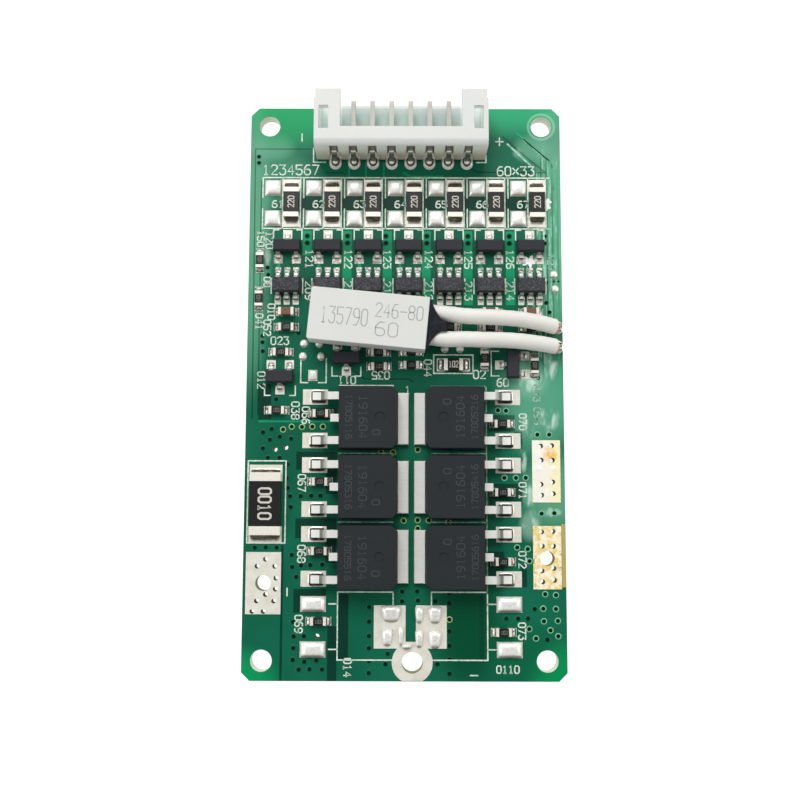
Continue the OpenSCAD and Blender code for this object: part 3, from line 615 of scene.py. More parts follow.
def plated_lead(low, high, bend_x=50):
    """Plated copper. Where a lead slopes down, between low and high, a painted shade makes it dark
    grey, and just before the bend, bend_x from the middle line, a painted shade starts to darken it."""
    def recipe(f):
        x, _, z = f.places()
        streak = f.noise(0.25, 3, 0.6, (0.25, 1.6, 1))
        tone = f.tint("f6f5f1", "e2e0d9", streak)
        # painted shade: grey where the lead slopes down, and darkening just before the bend
        slope = z.within(low, low + 0.12) * (1 - z.within(high - 0.3, high - 0.02))
        bend_shade = abs(x - fet_axis).within(bend_x - 0.45, bend_x) * (z > low)
        tone = f.tint(tone, "7d877d", bend_shade * 0.75)
        tone = f.tint(tone, "505b50", slope * (0.7 + f.noise(0.5, 2) * 0.3))
        return {"Base Color": tone, "Metallic": 0.12, "Roughness": 0.32 + streak * 0.15,
                "Normal": f.bump(streak, 0.012, 0.5, edge=0.06)}
    return recipe


def chip_end(f):
    """Tinned end of a chip, with a painted shade where it faces the lower edge."""
    mottle = f.noise(0.2, 3, 0.6)
    tone = f.tint("f2efe4", "dcd7c8", mottle)
    tone = f.tint(tone, "9a927c", f.facing().within(0.4, 0.8) * 0.6)
    return {"Base Color": tone, "Metallic": 0.2, "Roughness": 0.35 + mottle * 0.15,
            "Normal": f.bump(mottle, 0.015, 0.5, edge=0.05)}


def small_fillet(f):
    """Solder on the small pads: dark along its thin edge, pale where it is thick, dark on top."""
    z = f.places()[2]
    lift = z + f.noise(0.35, 2) * 0.06 - 0.03
    pale = f.tint("d8d6cc", "5d6a5c", f.noise(0.28, 3, 0.6).within(0.45, 0.6))
    tone = f.tint("3b4238", pale, lift.within(pad_z, pad_z + 0.07))
    tone = f.tint(tone, "3a352a", lift.within(pad_z + 0.13, pad_z + 0.24))
    return molten(f, tone, 0.45, 0.28)


def contact_cone(f):
    """Solder round a contact: pale on the pad, then a brown ring of flux and painted shade, and
    pale again at the top as a painted highlight.
    """
    z = f.places()[2]
    lift = z + f.noise(0.4, 2) * 0.06 - 0.03
    pale = f.tint("fbfaf3", "e6e3d6", f.noise(0.4, 3))
    brown = f.tint("40382a", "6d6450", f.noise(0.3, 2).within(0.4, 0.8))
    flux_and_shade_ring = lift.within(pad_z + 0.01, pad_z + 0.06) * (1 - lift.within(pad_z + 0.2, pad_z + 0.34))
    return molten(f, f.tint(pale, brown, flux_and_shade_ring), 0.3)


def contact_steel(f):
    """Bright blades in the mouth, and tails browned by flux behind the housing, with a painted
    highlight where each tail bends down and a painted green reflection of the board below it."""
    _, y, z = f.places()
    streak = f.noise(0.3, 3, 0.6, (1.5, 0.3, 0.3))
    bright = f.tint("b9b8b2", "a3a199", streak)
    rear = box("header_housing")[0][1]
    brown = f.tint("453c2e", "85795f", streak.within(0.3, 0.7))
    tail = 1 - y.within(rear - 0.5, rear + 0.5)
    bend_y, bend_z = box("header_pin_1")[0][1] + 0.36, box("header_pin_1")[1][2]
    # painted highlight at the top of the bend, and a painted green reflection of the board on the leg
    # below
    stroke = (1 - abs(y - bend_y).within(0.02, 0.11)) * z.within(bend_z - 0.3, bend_z - 0.12)
    brown = f.tint(brown, "27513d", (1 - y.within(bend_y - 0.14, bend_y - 0.02)) * 0.75)
    tone = f.tint(f.tint(bright, brown, tail), "f4f3ee", stroke)
    return {"Base Color": tone, "Metallic": tail * 0.6 * (1 - stroke) + 0.1,
            "Roughness": 0.5 - tail * 0.26 + streak * 0.1, "Normal": f.bump(streak, 0.01, 0.4, edge=0.07)}


def gilt_copper(f):
    """The upper pad is bleached, with one amber burn; the lower is gold, crinkled and browned."""
    x, y, _ = f.places()
    upper = y > middle("gold_pads")[1]
    crinkle = f.noise(0.5, 4, 0.7)
    gold = f.tint("fdf6dc", "efd27e", crinkle.within(0.42, 0.6))
    worn = f.noise(0.8, 4, 0.7).within(0.52, 0.62)
    edge = abs(x - middle("gold_pads")[0]).within(1.0, 1.5)
    gold = f.tint(gold, "a3803f", (worn * (0.4 + edge * 0.5)).within(0.1, 1.0))
    white = f.tint("f6f2e6", "fbefb4", (x - 13).within(1.2, 3.0) * 0.8)
    white = f.tint(white, "f3e2ae", f.noise(0.5, 3).within(0.56, 0.66) * 0.5)
    burn = patch(x, y, 15.0, -7.1, 1.0, 1.1) * f.noise(0.5, 3).within(0.25, 0.6)
    white = f.tint(white, "f0b93c", burn * 0.9)
    return {"Base Color": f.tint(gold, white, upper), "Metallic": 0.12,
            "Roughness": 0.3 + worn * 0.2, "Normal": f.bump(crinkle, 0.04, 0.6)}


tin = material("flat_tinned_copper", flat_tin)
solder = material("flowed_solder", flowed_tin)
# the three darkened solders: dark over their upper part, scorched flux and painted shade
fluxed = material("fluxed_solder", climbing_tin(0.02, 0.12, "3d3428"))
dull_solder = material("dull_solder", climbing_tin(-0.01, 0.09, "4a4335"))
shadow_and_flux_solder = material("shadow_and_flux_solder", climbing_tin(-0.02, 0.05, "1f1b13"))
pad_fillet = material("small_pad_solder", small_fillet)
cone_solder = material("contact_pad_solder", contact_cone)
frame_top = box("mosfet_frame_1")[1][2]
bend_x = fet_off + fet_half + 1.4
frame_metal = material("power_leadframe", plated_lead(pad_z + 0.5, frame_top, bend_x))
lead_metal = material("plated_leads", plated_lead(pad_z + 0.2, box("small_leads")[1][2] + 0.2))
terminal = material("chip_terminal", chip_end)
gilt = material("gilded_copper", gilt_copper)
dress(tin, "tinned_pads")
dress(solder, "solder_joints")
dress(gilt, "gold_pads")
dress(material("contact_steel", contact_steel), *names("header_pin", 8))
dress(lead_metal, "small_leads")
dress(frame_metal, *names("mosfet_frame", 6))
dress(terminal, "chip_terminals", "balance_terminals", "shunt_terminals")


# %% [markdown]
# ## Plastics and ceramics
#
# Moulding compound is black epoxy full of fine silica, so it is matt and slightly blue. The
# header is natural nylon, which lets a little light in. Chip resistors have a black glass
# top on white alumina, and capacitors are fired brown ceramic.

# %% Mix the plastics and ceramics
def epoxy(tone, other, rough):
    """Silica-filled moulding compound between two dark tones."""
    def recipe(f):
        grain = f.noise(0.09, 2, 0.6)
        cloud = f.noise(3.5, 2)
        return {"Base Color": f.tint(tone, other, cloud), "Roughness": rough + grain * 0.16,
                "Specular IOR Level": 0.25, "Normal": f.bump(grain, 0.01, 0.6, edge=0.08)}
    return recipe


def nylon_recipe(f):
    """Milky nylon: a painted glow in its towers and along its rear edge, a yellowish painted
    shade low on its rear, and a greener painted shade on its floor.
    """
    x, y, z = f.places()
    low, high = box("header_housing")
    shade = (1 - y.within(low[1], low[1] + 1.3)) * (1 - z.within(high[2] - 2.6, high[2] - 0.4))
    tone = f.tint("cccdca", "c6c8c3", f.noise(5, 2))
    thin = (1 - z.within(low[2] + 0.9, low[2] + 1.0)) * y.within(low[1] + 1.6, low[1] + 1.9)
    tone = f.tint(tone, "9db3ab", thin * (1 - (y.within(high[1] - 1.6, high[1]) * 0.8)))
    tone = f.tint(tone, "c9c3a4", shade * 0.6)
    across = abs(x - (low[0] + high[0]) / 2) + (low[0] - high[0]) / 2
    tower = across.within(-2.7, -2.6) * (1 - across.within(-0.25, -0.2))
    # painted glow in the towers and along the rear edge, standing in for light through the nylon
    glow = tower * (y > low[1] + 1.9) * (z > low[2] + 0.5) * (z < high[2] - 0.15)
    glow = glow + (1 - y.within(low[1] + 0.1, low[1] + 0.5)) * z.within(low[2] + 1, high[2] - 0.9) * 0.6
    return {"Base Color": tone, "Roughness": 0.38 + f.noise(0.5, 3) * 0.1,
            "Emission Color": f.tint("000000", "c4d2ca", glow), "Emission Strength": 0.3,
            "Subsurface Weight": 0.08, "Subsurface Scale": 0.001,
            "Normal": f.bump(f.noise(0.6, 3), 0.01, 0.5, edge=0.12)}


def case_recipe(f):
    """Pale moulded case with a few grey specks."""
    speck = f.noise(0.16, 2, 0.7).within(0.7, 0.78)
    tone = f.tint("d0d1cd", "c8c9c4", f.noise(4, 3))
    return {"Base Color": f.tint(tone, "a9a9a3", speck * 0.5),
            "Roughness": 0.45 + f.noise(0.4, 3) * 0.12, "Specular IOR Level": 0.4,
            "Normal": f.bump(f.noise(0.3, 3), 0.008, 0.5, edge=0.14)}


# the six-lead packages are coarser: pale grains stand out of their compound
grained_epoxy = two_tones("2a2b30", "5b5c61", (0.13, 3, 0.7), 0.55, (0.45, 0.7), 0.16,
                          (0.015, 0.6, 0.08), {"Specular IOR Level": 0.25})
resin_recipe = two_tones("101317", "20262b", (0.9, 4, 0.7), 0.4, (0.35, 0.75), 0.25, (0.08, 0.8),
                         {"Specular IOR Level": 0.15})
glass_top = two_tones("141214", "1f1d1e", (0.14, 2, 0.6), 0.34, None, 0.12, (0.01, 0.5, 0.05),
                      {"Coat Weight": 0.05, "Specular IOR Level": 0.35})
brown_ceramic = two_tones("7c563e", "5e4230", (0.12, 3, 0.6), 0.4, None, 0.15, (0.012, 0.5, 0.08))

power_epoxy = material("power_transistor_epoxy", epoxy("1c2123", "202628", 0.6))
small_epoxy = material("small_package_epoxy", epoxy("25272c", "2c2e33", 0.58))
resistor_glass = material("resistor_glass", glass_top)
dress(power_epoxy, *names("mosfet_body", 6))
dress(small_epoxy, "small_transistors", *names("cell_transistor", 7))
dress(material("grained_epoxy", grained_epoxy), *names("cell_monitor", 7))
dress(material("header_nylon", nylon_recipe), "header_housing")
dress(material("switch_case_plastic", case_recipe), "switch_case")
dress(material("potting_resin", resin_recipe), "switch_potting")
dress(resistor_glass, "shunt_body", "chip_resistors", *names("balance_resistor", 7))
dress(material("capacitor_ceramic", brown_ceramic), "chip_capacitors")


# %% [markdown]
# ## Solder on the empty pads
#
# A pad that went through the oven with paste but without a part carries a pillow of solder:
# surface tension rounds it, and the pad's edge pins it.

# %% Swell the empty pads
def pillow_pads():
    """Pillows on the spare pads beside the balancing resistors."""
    size, off_x, off_y = 1.74, 1.97, 1.65
    return [blob(x - off_x, cell_y + s * off_y, size, size, 0.3, corner=0.1, swell=0.85)
            for x, _ in cells for s in (-1, 1)]


def fourth_row_pads():
    """Pillows on the four lead pads of the two transistors that are not fitted."""
    reach = fet_off + fet_half + 2.5
    return [blob(fet_axis + side * reach, fet_rows[3] + s * 2.26, 2.56, 1.59, 0.5, corner=0.1,
                 swell=0.75, cells_across=13) for side in (-1, 1) for s in (-1, 1)]


def output_lumps():
    """Lumps left where straps were soldered beside the output ring: x, y, width, length."""
    lumps = [(-1.35, -23.3, 2.3, 1.75), (-1.75, -25.65, 1.25, 1.8), (-0.35, -25.5, 0.6, 2.0),
             (1.5, -23.4, 0.95, 1.75), (3.1, -23.4, 1.55, 1.8), (1.5, -25.8, 0.95, 1.8),
             (3.1, -25.85, 1.5, 1.85), (0.25, -26.55, 1.2, 0.5)]
    return [blob(x, y, w, l, 0.5, corner=0.5, swell=0.8, taper=0.35, cells_across=13)
            for x, y, w, l in lumps]


def test_dots():
    """Round beads on the small test points, and the square one beside them."""
    places = [(left + 5.95, -1.75), (left + 5.85, -3.1), (left + 7.75, -3.1), (left + 7.55, -1.75),
              (right - 0.85, 5.65), (right - 0.75, 4.1), (right - 12.35, -2.25), (right - 10.75, -2.25)]
    dots = [blob(x, low_y + y, 0.84, 0.8, 0.2, corner=1, swell=0.9) for x, y in places]
    return dots + [blob(left + 6.9, low_y - 5.1, 0.9, 1.1, 0.16, corner=0.4)]


piece("spare_pad_solder", pillow_pads(), solder)
piece("empty_transistor_pads", fourth_row_pads(), solder)
piece("output_strap_solder", output_lumps(), solder)
piece("test_point_beads", test_dots(), solder)


# %% [markdown]
# ## Fillets
#
# Solder wets the end of a terminal and the edge of its pad, and hangs between them in a
# hollow curve. Collars round the feet and slopes off the ends give that curve.

# %% List the small chips
# middle x and y of each small chip resistor, and its turn in degrees
SMALL_CHIPS = [
    (left + 1.2, transistors[0][1] - 1.5, 90), (left + 1.15, monitors[0][1] - 1.4, 90),
    (left + 3.55, low_y - 2.65, 0), (left + 3.2, low_y - 8.75, 0), (left + 13.75, low_y - 2.65, 0),
    (left + 13.8, low_y - 4.15, 0), (left + 17.15, low_y - 2.6, 0), (left + 17.15, low_y - 4, 0),
    (right - 8.2, low_y - 3.3, 90), (right - 3, low_y - 4.05, 90)]
SMALL_CHIPS += [(fet_axis - 9.42, y + 0.55, 0) for y in fet_rows]
SMALL_CHIPS += [(fet_axis + 9.38, y - 0.5, 0) for y in fet_rows]
cell_chips = [(x, y, 0) for x, _ in transistors for y in (cap_y, low_y)]
mid_chip = (right - 11.45, low_y - 3.95)
print(len(SMALL_CHIPS) + len(cell_chips), "small chips")


# %% Raise the fillets
def hollow_slope(x, y, width, reach, height, turn):
    """Solder off a metal end that faces turn degrees, for s from 0 at the metal to 1: it stands
    (1 - s)^2 high, times 1 - w^8 across it, for w from -1 to 1, and narrows by s^2."""
    s, w = np.meshgrid(np.linspace(0, 1, 8), np.sin(np.linspace(-1, 1, 9) * np.pi / 2))
    px, py = turned(x, y, reach * s - 0.02, w * (width / 2 - 0.1 * s * s), turn)
    return grid_part(np.stack([px, py, pad_z - 0.004 + height * (1 - s) ** 2 * (1 - w ** 8)], -1))


def chip_slopes(x, y, turn, length, width, reach, height):
    """The two slopes of a chip of a length."""
    return [hollow_slope(*turned(x, y, u, 0, turn), width, reach, height, turn + way)
            for u, way in ((-length / 2, 180), (length / 2, 0))]


def small_feet():
    """Tips of the gull-wing feet of all small packages, and the angle at which each points."""
    three = ((0, 1.2, 90), (-pin_pitch, -1.2, -90), (pin_pitch, -1.2, -90))
    feet = [(x + u, y + v, way) for x, y in transistors for u, v, way in three]
    for x, y in monitors:
        feet += [(x + k * pin_pitch, y + s * 1.4, 90 * s) for k in (-1, 0, 1) for s in (-1, 1)]
    for x, y, turn in ((left + 3.5, low_y - 5.3, 180), (left + 10.4, low_y - 3.3, 180),
                       (right - 5.3, low_y - 3.95, 90)):
        feet += [(*turned(x, y, u, v, turn), turn + way) for u, v, way in three]
    return feet


def gull_fillets(feet):
    """A collar round each foot and a slope off its toe."""
    parts = []
    for x, y, turn in feet:
        parts += [collar(*turned(x, y, -0.17, 0, turn), 0.42, 0.4, 0.13, 0.13, turn, sides=20),
                  hollow_slope(x, y, 0.66, 0.46, 0.17, turn)]
    return parts


def outer_feet():
    """Each outer lead of the power transistors: its transistor's number, the side it points to,
    which of the two it is, and the middle of its foot."""
    for k, (x, y) in enumerate(fets):
        side = -1 if x < fet_axis else 1
        for s in (-1, 1):
            yield k, side, s, x + side * foot_reach, y + s * lead_off


def power_fillets():
    """Collars round the feet of the power transistors' outer leads."""
    return [collar(x - side * 0.1, y, 1.05, 0.84, 0.3, 0.3) for _, side, _, x, y in outer_feet()]


def power_slopes():
    """Dark solder on the near side of each outer lead, and in its heel: slopes whose dark is
    scorched flux and, on the near side, a painted shadow. Each slope has its place along the lead
    and across it, its share of a drift, its width, reach and height, and its turn."""
    slopes = ((-0.12, -0.4, -1, 1.5, 0.38, 0.42, -90), (0.3, -0.4, -1, 0.7, 0.26, 0.3, -90),
              (-0.65, -0.38, 0, 0.5, 0.34, 0.6, -90), (-0.55, 0.4, 0, 0.7, 0.26, 0.5, 90))
    parts = []
    for k, side, s, x, y in outer_feet():
        drift = 0.1 * math.sin(5 * k + s)
        parts += [hollow_slope(x + side * (u + share * drift), y + v, *size)
                  for u, v, share, *size in slopes]
    return parts


def big_chip_fillets():
    """Slopes at the ends of the balancing resistors and the shunt."""
    # the pieces' ends, the width of their slopes, and reach and height of the upper and lower one
    low, high = box("shunt_terminals")
    ends = [(x, *box("balance_terminals"), 1.56, (1.0, 0.42), (0.74, 0.46)) for x, _ in cells]
    ends.append(((low + high)[0] / 2, low, high, 3.1, (0.5, 0.5), (0.72, 0.62)))
    return [hollow_slope(x, edge[1], width, *size, turn) for x, low, high, width, above, below in ends
            for edge, size, turn in ((high, above, 90), (low, below, -90))]


def small_chip_fillets():
    """Slopes at the ends of the small and middle-sized chips, as wide as their pads."""
    parts = chip_slopes(*mid_chip, 0, 2.0, 1.25, 0.7, 0.42)
    for x, y, turn in SMALL_CHIPS + cell_chips:
        parts += chip_slopes(x, y, turn, 1.6, 0.94, 0.53, 0.3)
    return parts


def contact_cones():
    """Solder on the header's pads: a hollow oblong cone that climbs each contact's tail."""
    y = box("header_pin_1")[0][1] + 0.25
    profile = [(0.58, 0.0), (0.5, 0.02), (0.42, 0.07), (0.34, 0.17), (0.27, 0.32), (0.17, 0.43),
               (0.08, 0.46)]
    return [ring(x, y - 0.16, pad_z - 0.003, profile, 24, 0.1) for x, _ in contacts]


# feet that point to the lower edge take the darker fluxed solder, scorched flux and painted shade on the
# side turned from the light; upward feet take the clean solder, or the small-pad solder where they crowd
upper = [foot for foot in small_feet() if foot[2] == 90]
lower = [foot for foot in small_feet() if foot[2] != 90]
crowded = [foot for foot in upper if foot[1] < cells[0][1] - 5.5]
piece("upper_feet_solder", gull_fillets([foot for foot in upper if foot not in crowded]), solder)
piece("monitor_feet_solder", gull_fillets(crowded), pad_fillet)
piece("lower_feet_solder", gull_fillets(lower), fluxed)
piece("power_lead_solder", power_fillets(), fluxed)
# the near-side slopes are dark as a painted shadow, with scorched flux
piece("power_lead_flux", power_slopes(), shadow_and_flux_solder)
piece("chip_end_solder", big_chip_fillets(), dull_solder)
piece("small_chip_solder", small_chip_fillets(), pad_fillet)
piece("header_pad_solder", contact_cones(), cone_solder)


# %% [markdown]
# ## Holes under the mask
#
# Small plated holes carry current between the copper layers. The lacquer sags into them;
# each is a flat dark disc, a painted shade of the hollow, in a faint rim. Next to the power
# transistors the rims are bare.

# %% Sink the covered holes
covered = [(x, y) for x in (-10.35, -6.1, -2.05, 2.28, 6.63, 11.0, 14.75) for y in (16.0, 15.25)]
covered += [
    (-15.62, 24.64), (-15.61, 23.97), (-14.5, 12.57), (-14.44, 11.79), (-14.92, 5.27), (-14.91, 4.59),
    (-14.86, 3.65), (-11.15, 5.6), (14.85, 11.03), (14.82, 8.85), (15.15, 7.85), (13.88, 0.93),
    (-13.38, -1.4), (-14.69, -4.84), (-13.8, -4.5), (-13.96, -5.62), (-12.93, -5.29), (-11.76, -5.5),
    (-14.66, -6.51), (-14.14, -7.5), (-12.92, -7.5), (-12.09, -8.16), (-12.17, -9.57), (-12.04, -10.59),
    (-11.78, -11.43), (-10.69, -11.43), (-9.61, -11.38), (-8.67, -11.37), (-11.7, -12.53),
    (-15.32, -16.68), (-14.2, -16.64), (-13.08, -16.67), (-11.53, -17.4), (-11.46, -18.62),
    (-10.56, -18.46), (-9.62, -18.42), (-8.39, -18.38), (-11.04, -19.62), (-11.3, -24.13),
    (-11.23, -25.58), (-10.17, -25.54), (-11.23, -26.74), (-11.28, -27.9), (-10.11, -28.09),
    (-8.89, -27.96), (-10.66, -28.86), (-9.58, -28.82), (-8.31, -28.85)]
covered += [(-3.58, y) for y in (-22.64, -24.08, -25.52, -26.72, -27.99, -29.18)]
covered += [(4.57, y) for y in (-21.22, -22.22, -25.02, -26.46, -27.82, -29.23)]
covered += [
    (-1.69, -27.27), (-1.9, -28.31), (3.35, -28.29), (-0.23, -21.06), (1.3, -21.05), (-0.23, -22.05),
    (1.39, -21.96), (3.14, -22.04), (10.35, -23.74), (11.56, -23.74), (12.56, -23.73), (13.25, -22.78),
    (14.49, -25.84)]
yellow = [
    (-12.61, -4.55), (-11.72, -4.25), (-10.65, -4.28), (-9.58, -4.24), (-8.48, -4.24), (1.34, -6.61),
    (1.34, -13.83), (1.34, -14.7), (2.48, -13.86), (4.5, -14.03), (-0.1, -13.9), (-2.45, -6.9),
    (-1.2, -6.9), (4.57, -23.85)]
pale = [
    (9.67, -2.5), (10.5, -2.54), (10.28, -9.49), (11.46, -9.49), (12.47, -9.48), (13.72, -5.02),
    (14.95, -5.01), (14.06, -13.14), (15.37, -13.1), (11.52, -16.59), (12.6, -16.74), (12.77, -17.96),
    (14.33, -21.29), (15.42, -21.38), (14.11, -22.74), (15.4, -22.77), (14.17, -24.0), (15.58, -23.96),
    (12.67, -24.78), (14.82, -24.9), (13.34, -25.71), (15.6, -25.49)]
print(len(covered + yellow + pale), "covered holes")


def rim_recipe(one, other):
    """Copper rim that shines through thin lacquer."""
    def recipe(f):
        return {"Base Color": f.tint(one, other, f.noise(0.5)), "Roughness": 0.35 + f.noise(0.3) * 0.2}
    return recipe


def turned_parts(profile):
    """The profile turned round every covered hole."""
    return [ring(x, y, board_z + 0.002, profile, 14) for x, y in covered + yellow + pale]


# the pits' dark lacquer is a painted shade of the sunken holes
pit_shade_lacquer = two_tones("03160f", "08281b", (0.3,), 0.5, more={"Specular IOR Level": 0.06})
pit = material("lacquered_pit", pit_shade_lacquer)
yellow_rim = material("yellow_copper_rim", rim_recipe("6fa060", "9cb873"))
pale_rim = material("pale_copper_rim", rim_recipe("3f9d74", "8cc29c"))
pits = turned_parts([(0.22, 0.025), (0.16, 0.02), (0.1, 0.018)])
rims = turned_parts([(0.33, 0.0), (0.29, 0.02), (0.25, 0.026), (0.21, 0.024)])
piece("covered_holes", pits + rims, [pit, mask, yellow_rim, pale_rim],
      shades=[0] * len(pits) + [1] * len(covered) + [2] * len(yellow) + [3] * len(pale))


# %% [markdown]
# ## Dried flux
#
# Flux that was not washed off dries to a white crust. It creeps out between the pads in
# lobes, so each crust is a thin star.

# %% Leave the crusts
def crust(x, y, radius, phase, depth, lobes=5, height=0.03, sides=40):
    """A thin star. At the angle a its rim is radius times 1 + depth cos(lobes a + phase)
    + depth / 2 cos(2 a), and it stands height times 1 - s^2 for s from 0 at its middle to 1."""
    a = round_angles(sides)
    rim = radius * (1 + depth * np.cos(lobes * a + phase) + depth / 2 * np.cos(2 * a))
    s = np.linspace(1, 0.02, 6)[:, None]
    points = np.stack([x + s * rim * np.cos(a), y + s * rim * np.sin(a),
                       board_z + 0.004 + height * (1 - s * s) + 0 * a], -1)
    p, f = grid_part(points, closed=True)
    return p, f + [[len(p) - sides + k for k in range(sides)]]


crusts = [crust(13.1, 13.3, 0.6, 0.6, 0.36), crust(15.05, 19.75, 0.38, 0.3, 0.2),
          crust(15.0, 19.2, 0.36, 1.3, 0.2)]
white_flakes = two_tones("f4f7f3", "c5d8cd", (0.3, 4, 0.7), 0.4, (0.5, 0.8), 0.2, (0.02, 0.6))
flux_crust = material("flux_crust", white_flakes)
piece("dried_flux", crusts, flux_crust)
gold_x = middle("gold_pads")[0]
# two flat white dots on the gold pads, in the crust's white
white_dots = [blob(gold_x + x, -8.46, 0.5, 0.5, 0.05, corner=1) for x in (-0.7, 0.75)]
piece("plugged_holes", white_dots, flux_crust)


# %% [markdown]
# ## Printed marks
#
# The white print is a thin epoxy ink. Outlines of parts are ribbons, and numbers are drawn
# as a plotter would, stroke by stroke on a grid four units wide and six high. The marks
# are plain counting numbers and polarity signs.

# %% Draw the outlines
def worn_ink(thin, thick, size, full, rough):
    """Ink that is thin in places, where the green shows through it."""
    def recipe(f):
        cover = f.noise(size, 4, 0.7).within(0.3, full)
        return {"Base Color": f.tint(thin, thick, cover), "Roughness": rough,
                "Normal": f.bump(cover, 0.01, 0.6)}
    return recipe


ink = material("white_ink", worn_ink("98b7a2", "dde2d7", 0.35, 0.6, 0.55))
faint_ink = material("rubbed_ink", worn_ink("3f7f63", "b3c9ba", 0.5, 0.7, 0.5))
ink_z = board_z + 0.012
ink_width = 0.13

# ends of the power transistors' outlines left and right of their axis, and their height over a row
FET_LEFT, FET_RIGHT = (-6.8, -1.2), (2.75, 8.45)
over_row = 3.48


def level(ends, y):
    """A level line between two ends."""
    return [(end, y) for end in ends]


def both_sides(*points):
    """The line through the points given as x, y and reach to either side of x."""
    return [[(x + s * reach, y) for x, y, reach in points] for s in (-1, 1)]


def silk_lines():
    """All outlines of parts as polylines."""
    y1, y0 = 22.35, 16.8
    lines = [[(-9.8, 25.6), (-9.8, 24.05), (-8.5, 24.05)], [(7.6, 24.05), (8.6, 24.05), (8.6, 24.8)],
             [(-15.0, y1), (15.3, y1)], [(-15.0, y0), (15.3, y0)]]
    for x, y in cells:
        lines += both_sides((x, y1, 0.95), (x, y0, 0.95))
        lines += [[(x - 3.05, y + s * 2.8), (x - 3.05, y + s * 0.6)] for s in (-1, 1)]
    for x, y in transistors:
        lines += both_sides((x, y + 0.8, 1.5), (x, y + 1.85, 1.5), (x, y + 1.85, 0.95))
    for x, y in monitors:
        lines += both_sides((x, y - 0.8, 1.65), (x, y + 0.8, 1.65))
    last = fet_rows[3]
    lines += [level(FET_LEFT, last + over_row), level(FET_RIGHT, last + over_row),
              level(FET_LEFT, fet_rows[0] + over_row)]
    for side, far, near in ((-1, FET_LEFT[0], -1.15), (1, FET_RIGHT[1], 2.75)):
        lines += [[(far, last + 3.4), (far, last - 3.3), (near, last - 3.3)],
                  [(near, last + 3.4), (near, last + 2.2)]]
        lines += [level((far, far + side * 0.9), last + y) for y in (2.28, -2.25)]
    lines += [rectangle(-16.15, -16.2, -12.25, -7.8) + [(-16.15, -16.2)],
              rectangle(3.0, 1.35, 7.1, 3.3) + [(3.0, 1.35)],
              [(-10.85, 2.9), (-10.85, 0.35), (-10.1, 0.35)], [(-9.0, 0.35), (-8.2, 0.35), (-8.2, 2.9)],
              [(-14.6, 0.0), (-14.6, -1.0), (-14.0, -1.0)], [(-12.0, -1.0), (-11.4, -1.0), (-11.4, 0.0)],
              [(-7.6, 2.0), (-7.6, 1.05), (-7.0, 1.05)], [(-5.2, 1.05), (-4.6, 1.05), (-4.6, 2.0)],
              [(9.8, 3.7), (9.0, 3.7), (9.0, 1.1), (9.8, 1.1)]]
    return lines


def rubbed_lines():
    """Outlines of the power transistors, rubbed where the parts sit on them."""
    far, first = FET_RIGHT[1], fet_rows[0] + 3.4
    lines = [[(far, first), (far, fet_rows[3] + 3.4)], level(FET_RIGHT, first)]
    for y in fet_rows[1:3]:
        lines += [level(FET_RIGHT, y + over_row), level(FET_LEFT, y + over_row)]
    return lines


marks("printed_outlines", silk_lines(), ink_width, ink, ink_z)
marks("rubbed_outlines", rubbed_lines(), ink_width, faint_ink, ink_z)

# %% Draw the numbers
STROKES = {
    "0": [[(0, 1), (0, 5), (1, 6), (3, 6), (4, 5), (4, 1), (3, 0), (1, 0), (0, 1)]],
    "1": [[(1, 5), (2, 6), (2, 0)], [(1, 0), (3, 0)]],
    "2": [[(0, 5), (1, 6), (3, 6), (4, 5), (4, 4), (0, 0), (4, 0)]],
    "3": [[(0, 6), (4, 6), (2, 3.8), (3, 3.8), (4, 2.8), (4, 1), (3, 0), (1, 0), (0, 1)]],
    "4": [[(3, 0), (3, 6), (0, 2), (4, 2)]],
    "5": [[(4, 6), (0, 6), (0, 3.4), (3, 3.4), (4, 2.6), (4, 1), (3, 0), (1, 0), (0, 0.7)]],
    "6": [[(3.5, 6), (1.5, 6), (0, 4), (0, 1), (1, 0), (3, 0), (4, 1), (4, 2.4), (3, 3.4), (0, 3.4)]],
    "7": [[(0, 6), (4, 6), (1.4, 0)]],
    "8": [[(1, 3.2), (0, 4.1), (0, 5), (1, 6), (3, 6), (4, 5), (4, 4.1), (3, 3.2), (1, 3.2), (0, 2.3),
           (0, 1), (1, 0), (3, 0), (4, 1), (4, 2.3), (3, 3.2)]],
    "9": [[(0.5, 0), (2.5, 0), (4, 2), (4, 5), (3, 6), (1, 6), (0, 5), (0, 3.8), (1, 2.8), (4, 2.8)]],
    "x": [[(0, 1), (4, 5)], [(0, 5), (4, 1)]],
    "+": [[(2, 1), (2, 5)], [(0, 3), (4, 3)]],
    "-": [[(0, 3), (4, 3)]],
}


def numbers(text, x, y, height, turn=0, spread=1.0):
    """Strokes of a short number whose middle is at x, y, turned by turn degrees."""
    unit = height / 6
    lines = []
    for k, mark in enumerate(text):
        for stroke in STROKES[mark]:
            u, v = (np.array(stroke, float) * unit * [spread, 1]).T
            u += (k * 5.6 - (len(text) * 5.6 - 1.6) / 2) * unit * spread
            lines.append(np.stack(turned(x, y, u, v - height / 2, turn), -1))
    return lines


